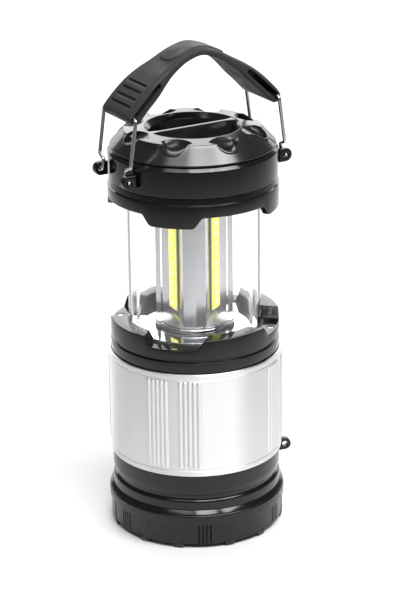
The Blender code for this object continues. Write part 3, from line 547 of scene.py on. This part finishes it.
def lower_housing():
    """The housing: a well for the lamp above its floor and one for the cells below, and outside, from
    the top, a spigot for the collar, a seat for the sleeve, a band, a waist and a flare."""
    well, floor_z, top_z = 39.6, 22.6, 96.0
    spigot, spigot_z = 40.9, 93.7
    seat, seat_z = 42.6, 39.1
    band_low_z, shoulder, shoulder_z = 31.4, 42.4, 28.7
    waist, waist_z = 41.3, (26.3, 28.0)
    flare_z = (18.7, 20.7, 25.3)
    skirt, skirt_z, cell_well, ceiling_z = 41.0, 5.6, 38.4, 21.1
    lip = 0.15
    outline = rounded([
        (0, floor_z, 0), (well, floor_z, 0.6), (well, top_z, 0.3), (spigot, top_z, 0.3),
        (spigot, spigot_z, 0.1), (seat, spigot_z, 0.2), (seat, seat_z, 0.1),
        (BAND_RADIUS, seat_z, 0.15), (BAND_RADIUS, band_low_z, 1.5), (shoulder, shoulder_z, 0.3),
        (waist, waist_z[1], 0.2), (waist, waist_z[0], 0.2), (BAND_RADIUS, flare_z[2], 1.7),
        (BAND_RADIUS, flare_z[1], 0.8), (FLARE_RADIUS, flare_z[0] + 0.1, lip),
        (FLARE_RADIUS - lip, flare_z[0], 0), (skirt, flare_z[0], 0.1), (skirt, skirt_z, 0.3),
        (cell_well, skirt_z, 0.3), (cell_well, ceiling_z, 0.4), (0, ceiling_z, 0)], closed=False)
    mesh = turned("housing_shell", outline, 160)
    add_piece("housing_shell", mesh, BLACK, body_of("lower_housing"),
              ["lower_housing"])
    cord_eye()


def cord_eye():
    """The eye for a wrist cord: an upright plate on the housing's band."""
    turn_deg, tip, centre_z, radius, hole = -20, 46.4, 34.4, 3.2, 1.4
    root, root_half, thickness = 42.0, 3.6, 3.4
    outline = [(root, centre_z - root_half)] + arc((tip, centre_z), radius, -90, 90, 24)
    outline += [(root, centre_z + root_half)]
    turn = Matrix.Rotation(math.radians(turn_deg), 4, "Z") @ Matrix.Rotation(math.pi / 2, 4, "X")
    mesh = plate("cord_eye", [outline, circle((tip, centre_z), hole)], thickness, turn, 0.45)
    add_piece("cord_eye", mesh, BLACK, body_of("lower_housing"))


def metal_sleeve():
    """The sleeve, with a rolled line at each end and capsule-shaped flutes between them."""
    low, high = SLEEVE_Z
    bore, edge = 42.9, 0.3
    step, height, crown = 3.1, 0.55, 2.2
    flute_z = (43.6, 90.2)
    half = math.radians(step / 2) * SLEEVE_RADIUS
    groups = [tab + side * 11.1 for tab in TAB_ANGLES for side in (-1, 1)]
    crests = [group + (i - 2) * step for group in groups for i in range(5)]
    line_z, line_half, line_depth = (42.5, 91.1), 0.3, 0.16

    def shape(degree, r, z):
        if r < SLEEVE_RADIUS - 0.02:
            return r, z
        across = math.radians(off_nearest(degree, crests)) * SLEEVE_RADIUS
        beyond = max(0, z - (flute_z[1] - half), flute_z[0] + half - z)
        reach = math.hypot(across, beyond) / half
        if reach < 1:
            return r + height * (1 - reach ** crown), z
        nearest = min(abs(z - line) for line in line_z)
        if nearest < line_half:
            return r - line_depth * math.cos(math.pi / 2 * nearest / line_half), z
        return r, z

    # The wall's points lie closer together over the lines and at the flutes' round ends.
    levels = [93.0, 92.0] + span(91.3, 90.7, 6) + span(90.4, flute_z[1] - half - 0.1, 9)
    levels += span(flute_z[1] - 4, flute_z[0] + 4, 12) + span(flute_z[0] + half + 0.1, 43.4, 9)
    levels += span(42.8, 42.2, 6) + [41.2, 40.2]
    outline = [(bore, high)] + arc((SLEEVE_RADIUS - edge, high - edge), edge, 90, 0, 4)
    outline += [(SLEEVE_RADIUS, z) for z in levels]
    outline += arc((SLEEVE_RADIUS - edge, low + edge), edge, 0, -90, 4) + [(bore, low)]
    angles = with_details(groups, reach=8.0, fine=step / 14, coarse=1.5)
    mesh = turned("sleeve_shell", outline, angles, shape)
    add_piece("sleeve_shell", mesh, SLEEVE, body_of("metal_sleeve"), ["metal_sleeve"])


def collar_section(edge_z):
    """The collar's section where its upper edge is at a height, with a groove outside and a spigot
    that goes into the housing."""
    groove, groove_z = COLLAR_RADIUS - 1, (99.6, 100.0, 101.0, 101.5)
    foot_z, rebate, rebate_z = 94.3, 41.2, 96.3
    spigot, spigot_z = 39.3, 90.0
    return rounded([
        (COLLAR_BORE, edge_z, 0.5), (COLLAR_RADIUS, edge_z, 0.45), (COLLAR_RADIUS, groove_z[3], 0.3),
        (groove, groove_z[2], 0.2), (groove, groove_z[1], 0.2), (COLLAR_RADIUS, groove_z[0], 0.3),
        (COLLAR_RADIUS, foot_z, 0.3), (rebate, foot_z, 0.1), (rebate, rebate_z, 0.1),
        (spigot, rebate_z, 0.1), (spigot, spigot_z, 0.3), (COLLAR_BORE, spigot_z, 0.3)], steps=4)


def collar_ring():
    """The collar: a notch at each tab angle, with a screw sunk in its floor."""
    edge = tab_edge(NOTCH_TOP_HALF, NOTCH_FLOOR_HALF, COLLAR_TOP_Z, NOTCH_FLOOR_Z, 1.0, 0.8)
    mesh = notched_ring("collar_shell", collar_section, edge)
    screw_circle = 39.2
    mouth, seat, hole = 2.5, 1.9, 1.0
    mouth_z, seat_z, hole_z = NOTCH_FLOOR_Z + 1.1, 104.5, 95.8
    profile = rounded([(0, mouth_z, 0), (mouth, mouth_z, 0), (seat, NOTCH_FLOOR_Z - 0.1, 0),
                       (seat, seat_z, 0.2), (hole, seat_z, 0), (hole, hole_z, 0), (0, hole_z, 0)],
                      closed=False, steps=3)
    seats = []
    for index, tab in enumerate(TAB_ANGLES):
        x, y = polar(screw_circle, tab)
        cutter = turned(f"seat_{index}", profile, 40)
        cutter.transform(Matrix.Translation((x * MM, y * MM, 0)))
        seats.append(cutter)
        collar_screw(index, x, y)
    mesh = cut(mesh, seats)
    add_piece("collar_shell", mesh, BLACK, body_of("collar_ring"), ["collar_ring"])


def collar_screw(index, x, y):
    """A pan-head screw with a cross recess."""
    head, shank = 1.6, 0.8
    top_z, neck_z, end_z = NOTCH_FLOOR_Z - 0.2, 104.8, 96.8
    slot_length, slot_width, slot_depth = 2.1, 0.42, 0.55
    profile = rounded([(0, top_z, 0), (head, top_z, 0.45), (head, neck_z, 0.1), (shank, neck_z, 0.1),
                       (shank, end_z, 0.1), (0, end_z, 0)], closed=False, steps=5)
    mesh = turned(f"screw_{index}", profile, 32)
    tools = []
    for turn in (20, 110):
        bm = bmesh.new()
        matrix = Matrix.Translation((0, 0, top_z * MM)) @ Matrix.Rotation(math.radians(turn), 4, "Z")
        size = (slot_length * MM, slot_width * MM, 2 * slot_depth * MM, 1)
        bmesh.ops.create_cube(bm, size=1, matrix=matrix @ Matrix.Diagonal(size))
        tools.append(finished_mesh(f"recess_{index}_{turn}", bm))
    mesh = cut(mesh, tools)
    mesh.transform(Matrix.Translation((x * MM, y * MM, 0)))
    node = f"collar_screw_{index + 1}"
    add_piece(f"screw_{index + 1}", mesh, STEEL, body_of(node), [node], sharp_deg=30)


# ---- lamp ----------------------------------------------------------------------------------------


def clear_tube():
    """The clear tube: twelve slight facets outside, which meet in soft ridges, and a round bore."""
    low, high = TUBE_Z
    side, ridge, edge, least_gap = 30, 0.4, 0.25, 0.5
    to_middle = [0, 0.4, 0.8, 1.4, 2.2, 3.5, 5, 7, 9, 12, side / 2]
    offsets = to_middle + [side - offset for offset in to_middle[-2:0:-1]]
    outer = []
    for i in range(12):
        for offset in offsets:
            gap = max(least_gap, min(offset, side - offset))
            radius = TUBE_RADIUS - ridge * (1 - (1 - gap / (side / 2)) ** 2)
            outer.append(Vector(polar(radius, i * side + offset)))
    levels = [(high, -edge), (high - edge, 0), (low + edge, 0), (low, -edge)]
    rows = [[(*(p * (1 + inset / TUBE_RADIUS)), z) for p in outer] for z, inset in levels]
    rows += [[(*(p.normalized() * (TUBE_BORE - inset)), z) for p in outer]
             for z, inset in reversed(levels)]
    mesh = finished_mesh("tube_shell", skinned(rows))
    add_piece("tube_shell", mesh, CLEAR, body_of("clear_tube"), ["clear_tube"],
              sharp_deg=12)


def chrome_disc(name, node, radius, z_range, edge=0.2):
    """A mirror disc with a hole for the leads and a rounded upper edge."""
    low, high = z_range
    bore = 5.4
    outline = rounded([(bore, high, 0.1), (radius, high, edge), (radius, low, 0.1), (bore, low, 0.1)],
                      steps=5)
    add_piece(name, turned(name, outline), CHROME, body_of(node), [node])


def mirrors():
    radius = TUBE_BORE - 0.3
    chrome_disc("floor_mirror", "floor_reflector", radius, (105.5, 106.1))
    chrome_disc("column_foot", "column_base", 19.7, (106.4, 108.4), edge=0.6)
    chrome_disc("top_mirror", "top_reflector", radius, (181.0, 182.0))


def column_outline():
    """The column's section: three ribs, and between them three flats for the light boards."""
    rib_tip, rib_edge, rib_half = 18.5, 17.8, 5.3
    flat, flat_half = 11.3, 4.4
    points = []
    for rib in RIB_ANGLES:
        turn = Matrix.Rotation(math.radians(rib), 2)
        niche = Matrix.Rotation(math.radians(rib + 60), 2)
        points += [(*(turn @ Vector((x, y))), radius) for x, y, radius in (
            (rib_edge, -rib_half, 0.5), (rib_tip, 0, 1.2), (rib_edge, rib_half, 0.5))]
        points += [(*(niche @ Vector((flat, y))), 0.4) for y in (-flat_half, flat_half)]
    return rounded(points, steps=4)


def reflector_column():
    """The three-sided reflector, and the sloped petal at the foot of each niche."""
    low, high, bore = 108.7, 180.7, 9.4
    outline = column_outline()
    rows = [[(*p, z) for p in outline] for z in (high, low)]
    inside = [p.normalized() * bore for p in outline]
    rows += [[(*p, z) for p in inside] for z in (low, high)]
    mesh = finished_mesh("column_shell", skinned(rows))
    add_piece("column_shell", mesh, COLUMN, body_of("reflector_column"),
              ["reflector_column"], sharp_deg=25)
    root, foot_radius, root_height, foot_height = 10.3, 19.1, 5.2, 0.6
    slope = rounded([(root, low + root_height, 0.1), (foot_radius, low + foot_height, 0.25),
                     (foot_radius, low, 0.1), (root, low, 0.1)], steps=4)
    add_piece("petal_cone", turned("petal_cone", slope), PETAL, body_of("reflector_column"))


def light_strips():
    """On each board, a gel strip with rounded edges and a row of brighter domes over its emitters."""
    low, high = STRIP_Z
    half, back = 4.1, 12.7
    dome_radius, dome_height, lift = 1.25, 0.3, 0.02
    count = int((high - low) / LED_PITCH)
    first = (low + high) / 2 - (count - 1) / 2 * LED_PITCH
    outline = rounded([(back, -half, 0), (STRIP_FACE, -half, 0.3), (STRIP_FACE, half, 0.3),
                       (back, half, 0)], steps=4)
    size = Matrix.Diagonal((dome_height * MM, dome_radius * MM, dome_radius * MM, 1))
    for index, angle in enumerate(NICHE_ANGLES):
        turn = Matrix.Rotation(math.radians(angle), 3, "Z")
        rows = [[turn @ Vector((x, y, z)) for x, y in outline] for z in span(low, high, 24)]
        node = f"light_strip_{index + 1}"
        add_piece(f"gel_strip_{index + 1}", finished_mesh("gel_strip", capped(rows)), GEL,
                  body_of(node), [node])
        domes = bmesh.new()
        for i in range(count):
            centre = turn @ Vector((STRIP_FACE + lift, 0, first + i * LED_PITCH))
            matrix = Matrix.Translation(centre * MM) @ turn.to_4x4() @ size
            bmesh.ops.create_uvsphere(domes, u_segments=20, v_segments=12, radius=1, matrix=matrix)
        add_piece(f"gel_domes_{index + 1}", finished_mesh("gel_domes", domes), CORE,
                  body_of(node))


# ---- cap -----------------------------------------------------------------------------------------


def skirt_section(edge_z):
    """The skirt's section where its lower edge is at a height, with a shelf over the tube's end."""
    inner, shelf, shelf_z = SKIRT_RADIUS - 2.8, TUBE_RADIUS + 0.3, (180.9, 183.6)
    neck, shoulder_z = 41.6, (180.3, 180.6)
    return rounded([
        (shelf, shelf_z[1], 0.2), (neck, shelf_z[1], 0.2), (neck, shoulder_z[1], 0.15),
        (SKIRT_RADIUS, shoulder_z[0], 0.25), (SKIRT_RADIUS, edge_z, 0.45), (inner, edge_z, 0.4),
        (inner, shelf_z[0], 0.4), (shelf, shelf_z[0], 0.2)], steps=4)


def cap_skirt():
    """The skirt, with four tabs that drop into the collar's notches with a little room."""
    room = 0.4
    slope = (NOTCH_TOP_HALF - NOTCH_FLOOR_HALF) / (COLLAR_TOP_Z - NOTCH_FLOOR_Z)
    low_half = NOTCH_FLOOR_HALF - room
    high_half = low_half + slope * (SKIRT_BOTTOM_Z - TAB_BOTTOM_Z)
    edge = tab_edge(high_half, low_half, SKIRT_BOTTOM_Z, TAB_BOTTOM_Z, 3.3, 2.0)
    mesh = notched_ring("skirt_shell", skirt_section, edge)
    add_piece("skirt_shell", mesh, BLACK, body_of("cap_skirt"), ["cap_skirt"])


def cap_housing():
    """The cap's wall with its sloped shoulder, and a lug for each end of each bail."""
    mouth, shoulder, bore = 38.6, 40.7, 39.9
    top_z, shoulder_z, ceiling_z, foot_z = 198.7, 197.1, 196.1, 183.9
    outline = rounded([
        (mouth, top_z, 0.3), (shoulder, top_z, 0.4), (WALL_RADIUS, shoulder_z, 0.5),
        (WALL_RADIUS, foot_z, 0.35), (bore, foot_z, 0.2), (bore, ceiling_z, 0.5),
        (mouth, ceiling_z, 0.2)])
    mesh = turned("cap_wall", outline, 160)
    add_piece("cap_wall", mesh, BLACK, body_of("cap_housing"), ["cap_housing"])
    tip, hole, thickness, lug_y = 3.4, 1.3, 3.3, 14.35
    root = WALL_RADIUS - 1.6
    outline = [(root, PIVOT_Z - tip)] + arc((PIVOT_X, PIVOT_Z), tip, -90, 90, 24)
    outline += [(root, PIVOT_Z + tip)]
    eye = circle((PIVOT_X, PIVOT_Z), hole)
    for turn, hand in ((math.pi, "left"), (0, "right")):
        for side_y, end in ((-1, "front"), (1, "rear")):
            upright = Matrix.Rotation(math.pi / 2, 4, "X")
            upright.translation = (0, side_y * lug_y * MM, 0)
            name = f"bail_lug_{hand}_{end}"
            mesh = plate(name, [outline, eye], thickness, Matrix.Rotation(turn, 4, "Z") @ upright, 0.4)
            add_piece(name, mesh, BLACK, body_of("cap_housing"))


def crown_height(r):
    """Height of the cap's plate and cone, without its scallops."""
    line = ((DISH_RADIUS, DISH_RIM_Z), (PLATE_RADIUS, PLATE_EDGE_Z),
            (PLATE_RADIUS + 0.5, PLATE_EDGE_Z - 0.3), CONE_TOP, (CONE_RADIUS, CONE_EDGE_Z))
    for (low_r, low_z), (high_r, high_z) in zip(line, line[1:]):
        if r <= high_r:
            break
    return low_z + (high_z - low_z) * (r - low_r) / (high_r - low_r)


def scalloped(degree, r, z):
    """Moves a point of the cap's top into one of its eight eye-shaped scallops, or onto its lip."""
    corner, half_width = 29.2, 7.9
    upper_arc, lower_arc, lower_power, hollow = 4.0, 7.9, 2.4, 1.6
    lip_height, lip_width, lip_stretch, lip_from = 0.5, 0.55, 1.4, PLATE_RADIUS + 0.4
    if r < DISH_RADIUS + 0.8 or z < CONE_BOTTOM_Z + 0.9:
        return r, z
    turn = math.radians((degree + 22.5) % 45 - 22.5)
    across, along = abs(r * math.sin(turn)) / half_width, r * math.cos(turn)
    if across >= 1:
        return r, z
    inner = corner - upper_arc * (1 - across ** 2)
    outer = corner + lower_arc * (1 - across ** lower_power)
    if inner < along < outer:
        t = (along - inner) / (outer - inner)
        chord = (crown_height(inner / math.cos(turn)) * (1 - t)
                 + crown_height(outer / math.cos(turn)) * t)
        return r, min(z, chord - 4 * hollow * t * (1 - t) * min(1, 3 * (1 - across)))
    if along >= outer:
        slope = lower_power * lower_arc / half_width * across ** (lower_power - 1)
        beyond = (along - outer) / math.hypot(1, slope) * lip_stretch
        fade = smooth_step(lip_from, lip_from + 1.8, r)
        return r, z + lip_height * fade * math.exp(-((beyond - lip_width) / lip_width) ** 4)
    return r, z


def cap_top():
    """The top: a cone, a flat ring with its scallops, and a dish with a grip bar."""
    dish_floor, dish_wall = 18.0, ((20.4, 201.0), (21.5, 206.0))
    dish = rounded([
        (0, DISH_FLOOR_Z, 0), (dish_floor, DISH_FLOOR_Z, 1.2), (*dish_wall[0], 0.8),
        (*dish_wall[1], 0.6), (DISH_RADIUS, DISH_RIM_Z, 0.2), (DISH_RADIUS + 0.4, DISH_RIM_Z, 0)],
        closed=False)
    fall = (DISH_RIM_Z - PLATE_EDGE_Z) / (PLATE_RADIUS - DISH_RADIUS)
    ring = [(r, DISH_RIM_Z - fall * (r - DISH_RADIUS))
            for r in span(DISH_RADIUS + 0.6, PLATE_RADIUS - 0.25, 40)]
    cone = rounded([(PLATE_RADIUS - 0.2, PLATE_EDGE_Z, 0), (PLATE_RADIUS + 0.3, PLATE_EDGE_Z, 0.3),
                    (*CONE_TOP, 1.2), (CONE_RADIUS, CONE_EDGE_Z, 0.3), (CONE_RADIUS, CONE_BOTTOM_Z, 0)],
                   closed=False, steps=4)
    spigot, spigot_z, skin = 38.3, 196.1, 2.0
    ceiling, ceiling_z = 27.4, CONE_BOTTOM_Z - 0.4
    inside = [(spigot, CONE_BOTTOM_Z), (spigot, spigot_z), (spigot - skin, spigot_z),
              (spigot - skin, ceiling_z), (ceiling, ceiling_z), (ceiling - skin, DISH_FLOOR_Z - 1.0),
              (dish_floor + 0.6, DISH_FLOOR_Z - skin), (0, DISH_FLOOR_Z - skin)]
    outline = dish + ring + subdivided(cone, 0.2) + inside
    angles = with_details([45 * i for i in range(8)], reach=16.8, fine=0.3, coarse=1.2)
    mesh = turned("cap_crown", outline, angles, scalloped)
    add_piece("cap_crown", mesh, GLOSS, body_of("cap_top"), ["cap_top"], sharp_deg=50)
    grip_bar()


def grip_bar():
    """The thin wall across the dish, wider at its foot, which flares where it meets the rim."""
    low, high = DISH_FLOOR_Z - 0.6, DISH_RIM_Z - 0.25
    half_length, foot_half, top_half = 23.9, 2.2, 1.0
    flare_from, flare_width = 17, 1.5
    rows = []
    for x in span(-half_length, half_length, 64):
        reach = max(0, (abs(x) - flare_from) / (half_length - flare_from))
        flare = flare_width * reach ** 2
        section = rounded([(-foot_half - flare, low, 0), (foot_half + flare, low, 0),
                           (top_half + flare, high, 0.35), (-top_half - flare, high, 0.35)], steps=4)
        rows.append([(x, y, z) for y, z in section])
    mesh = finished_mesh("grip_bar", capped(rows))
    add_piece("grip_bar", mesh, GLOSS, body_of("cap_top"))


# ---- handle --------------------------------------------------------------------------------------


def bails():
    """The two wire bails: hooked ends in the lugs, a crank outwards, and a bar through the strap."""
    low_y, high_y, hook_y = 11.4, 15.9, 16.5
    crank_low, crank_high = 5.2, 7.2
    for side, hand in ((-1, "left"), (1, "right")):
        pivot = Vector((side * PIVOT_X, 0, PIVOT_Z))
        top = Vector((side * BAIL_TOP[0], 0, BAIL_TOP[1]))
        up = (top - pivot).normalized()
        length = (top - pivot).length
        half = [(-hook_y + WIRE_RADIUS, 0, 0), (-low_y, 0, 1.1), (-low_y, crank_low, 1.4),
                (-high_y, crank_high, 1.4), (-high_y, length, 1.7)]
        route = rounded(half + [(-y, t, r) for y, t, r in reversed(half)], closed=False, steps=7)
        line = [pivot + up * t + Vector((0, y, 0)) for y, t in subdivided(route, 2.5)]
        normal = up.cross(Vector((0, 1, 0))).normalized()
        mesh = wire_mesh(f"bail_wire_{hand}", line, normal, WIRE_RADIUS)
        node = f"bail_{hand}"
        add_piece(f"bail_wire_{hand}", mesh, STEEL, body_of(node), [node])


# Along the strap from an end to its middle: x, z, half width and thickness.
STRAP_HALF = [(41.6, 219.2, 14.0, 5.6), (40.0, 220.8, 14.0, 7.4), (34.2, 226.8, 14.0, 7.6),
              (28.1, 232.4, 13.5, 7.4), (22.5, 237.1, 12.4, 6.0), (17.0, 240.9, 11.2, 4.7),
              (10.0, 245.0, 10.4, 4.3), (4.0, 247.2, 10.4, 4.1)]
STRAP_APEX = (0, 247.8, 10.4, 4.0)


def strap_stations(spacing):
    """A smooth run of (x, z, half width, thickness) along the strap, from its left end to its right."""
    knots = [Vector((-x, z, w, t)) for x, z, w, t in STRAP_HALF] + [Vector(STRAP_APEX)]
    knots += [Vector(k) for k in reversed(STRAP_HALF)]
    ends = [2 * knots[0] - knots[1]] + knots + [2 * knots[-1] - knots[-2]]
    stations = []
    for i in range(1, len(ends) - 2):
        a, b, c, d = ends[i - 1:i + 3]
        count = max(1, round((c - b).xy.length / spacing))
        for k in range(count):
            t = k / count
            stations.append(0.5 * (2 * b + (c - a) * t + (2 * a - 5 * b + 4 * c - d) * t * t
                                   + (3 * b - a - 3 * c + d) * t ** 3))
    return stations + [knots[-1]]


def strap_relief(travel, total, y, half):
    """How far the strap's upper face is from its highest line, at a distance along and across it."""
    border, bevel = 2.6, 1.1
    groove_first, groove_step, groove_depth, groove_margin = 6.0, 4.2, 0.95, 4.4
    groove_floor, groove_edge = 0.35, 0.8
    pad_half, pad_end, pad_round, pad_step, pad_blend = 6.8, total / 2 - 35.5, 5.5, 0.7, 0.25
    panel = bevel * (1 - smooth_step(0, border, half - abs(y)) ** 0.7)
    near_end = min(travel, total - travel)
    across = smooth_step(0, groove_edge, half - groove_margin - abs(y))
    gap = min(abs(near_end - (groove_first + groove_step * i)) for i in range(4))
    groove = groove_depth * (1 - smooth_step(groove_floor, groove_edge, gap)) * across
    beyond = max(0, abs(travel - total / 2) - (pad_end - pad_round))
    side = max(0, abs(y) - (pad_half - pad_round))
    off_pad = smooth_step(pad_round - pad_blend, pad_round + pad_blend, math.hypot(beyond, side))
    return -panel - groove - pad_step * off_pad


def grip_strap():
    """The rubber strap: bevelled upper edges, cross grooves at its ends and a raised pad on top."""
    side_top, corner_round, face_inset, underside_inset = 2.3, 0.7, 0.25, 2.5
    stations = strap_stations(0.5)
    travels = [0]
    for a, b in zip(stations, stations[1:]):
        travels.append(travels[-1] + (b - a).xy.length)
    total = travels[-1]
    rows = []
    for i, (x, z, half, thick) in enumerate(stations):
        before, after = stations[max(i - 1, 0)], stations[min(i + 1, len(stations) - 1)]
        along = (after - before).xy.normalized()
        out = Vector((-along.y, along.x))
        ease = 0.75 + 0.25 * smooth_step(0, 1.0, min(travels[i], total - travels[i]))
        top = thick / 2 * ease
        lower = -top
        section = [(y, top + strap_relief(travels[i], total, y, half) * ease)
                   for y in span(-half + face_inset, half - face_inset, 56)]
        side = [(half, top - side_top), (half, lower + corner_round + 0.2)]
        side += arc((half - corner_round, lower + corner_round), corner_round, 0, -90, 5)
        section += side
        section += [(y, lower) for y in span(half - underside_inset, -half + underside_inset, 8)]
        section += [(-y, h) for y, h in reversed(side)]
        rows.append([(x + out.x * h, y, z + out.y * h) for y, h in section])
    mesh = cut(finished_mesh("strap", capped(rows)), [strap_slot(-1), strap_slot(1)])
    add_piece("strap_grip", mesh, RUBBER, body_of("grip_strap"), ["grip_strap"])


def strap_slot(side):
    """The long slot that holds a bail's bar, right across the strap's thick end."""
    start, end, radius, length = Vector(BAIL_TOP), Vector((25.4, 234.6)), 1.45, 40
    along = math.degrees(math.atan2(end.y - start.y, end.x - start.x))
    outline = arc(start, radius, along + 90, along + 270, 14)
    outline += arc(end, radius, along - 90, along + 90, 14)
    if side < 0:
        outline = [(-x, z) for x, z in reversed(outline)]
    return plate(f"slot_{side}", [outline], length, Matrix.Rotation(math.pi / 2, 4, "X"), 0.01)


# ---- CAD nodes that stay -------------------------------------------------------------------------


def finish_nodes():
    """Gives each inner node that no piece replaces its material, by the start of its name."""
    finishes = {
        "base_seal": RUBBER, "friction_ring": RUBBER, "battery_tray": INNER, "tube_carrier": INNER,
        "battery_cell": JACKET, "contact_spring": STEEL, "contact_plate": STEEL, "contact_rail": BRASS,
        "wiper_contact": BRASS, "light_board": BOARD, "driver_board": GREEN, "lead_wire": RUBBER}
    for name, node in NODES.items():
        for stem, material in finishes.items():
            if name.startswith(stem):
                node.data.materials.clear()
                node.data.materials.append(material)


# ---- stage ---------------------------------------------------------------------------------------


def softbox(name, centre, aim, size, radiance, spread_deg=180):
    """A rectangular light of a given brightness, facing a point. Its spread is the full angle beyond
    which it sends no light. Lengths are in metres."""
    data = bpy.data.lights.new(name, "AREA")
    data.shape = "RECTANGLE"
    data.size, data.size_y = size
    half = math.radians(spread_deg / 2)
    focus = 1 - half / math.tan(half) if spread_deg < 180 else 1
    data.spread = 2 * half
    data.energy = radiance * size[0] * size[1] * math.pi * focus
    light = bpy.data.objects.new(name, data)
    bpy.context.scene.collection.objects.link(light)
    light.location = centre
    light.rotation_mode = "QUATERNION"
    light.rotation_quaternion = (Vector(aim) - Vector(centre)).to_track_quat("-Z", "Y")


# The camera's level directions: it looks ahead, 30 degrees to the right of +Y.
AZIMUTH = math.radians(30)
AHEAD = Vector((math.sin(AZIMUTH), math.cos(AZIMUTH), 0))
RIGHT = Vector((math.cos(AZIMUTH), -math.sin(AZIMUTH), 0))
UP = Vector((0, 0, 1))


def toward(azimuth_deg, elevation_deg):
    """A direction from the lantern: the azimuth runs from the viewer's side to the right."""
    a, e = math.radians(azimuth_deg), math.radians(elevation_deg)
    return (RIGHT * math.sin(a) - AHEAD * math.cos(a)) * math.cos(e) + UP * math.sin(e)


def camera():
    """The camera, in metres: it looks down at a point near the middle of the lantern."""
    pitch, roll, distance = math.radians(20.5), math.radians(-0.66), 1.134
    aim = UP * 0.1171 + RIGHT * 0.0027
    look = AHEAD * math.cos(pitch) - UP * math.sin(pitch)
    data = bpy.data.cameras.new("camera")
    data.lens = 135
    data.sensor_width = 36
    obj = bpy.data.objects.new("camera", data)
    bpy.context.scene.collection.objects.link(obj)
    obj.location = aim - look * distance
    obj.rotation_mode = "QUATERNION"
    turn = Matrix.Rotation(roll, 3, "Z").to_quaternion()
    obj.rotation_quaternion = look.to_track_quat("-Z", "Y") @ turn
    bpy.context.scene.camera = obj


def ground():
    """A pale floor, just under the lantern's feet. Lengths are in metres."""
    radius, gap = 9, 0.0002
    bm = bmesh.new()
    bmesh.ops.create_circle(bm, cap_ends=True, segments=96, radius=radius)
    mesh = bpy.data.meshes.new("floor")
    bm.to_mesh(mesh)
    bm.free()
    floor = bpy.data.objects.new("floor", mesh)
    bpy.context.scene.collection.objects.link(floor)
    floor.location.z = -gap
    mesh.materials.append(surface("floor", (0.82, 0.82, 0.82), 0.6, grain=30, bump=0.01, tint=0.01))


def lighting():
    """Two keys, a fill, two lights on the floor behind for the backdrop, and one behind the lantern."""
    world = bpy.data.worlds.new("studio")
    bpy.context.scene.world = world
    world.use_nodes = True
    background = world.node_tree.nodes["Background"]
    background.inputs["Color"].default_value = (1, 1, 1, 1)
    background.inputs["Strength"].default_value = 0.15

    middle, reach = UP * 0.12, 1.3
    near = middle + RIGHT * 0.06
    softbox("key_right", middle + toward(61, 54) * reach, near, (0.6, 0.52), 15, spread_deg=64)
    softbox("key_front", middle + toward(17, 58.5) * reach, near, (0.5, 0.6), 15, spread_deg=64)
    softbox("fill", middle + toward(-29, 59) * reach, middle, (0.6, 0.5), 4.5, spread_deg=60)
    low, high, behind = UP * 0.33, UP * 1.45, AHEAD * 2.2
    softbox("backdrop_low", behind + low, low, (3.0, 0.5), 1.6)
    softbox("backdrop_high", behind + high, high, (3.0, 1.7), 3.0)
    rear = AHEAD * 0.8
    softbox("rear_floor", rear + UP * 1.5, rear, (1.2, 1.2), 8, spread_deg=56)
    bpy.context.scene.view_settings.view_transform = "Standard"


camera()
ground()
lighting()
base_cap()
lower_housing()
metal_sleeve()
collar_ring()
clear_tube()
mirrors()
reflector_column()
light_strips()
cap_skirt()
cap_housing()
cap_top()
bails()
grip_strap()
finish_nodes()
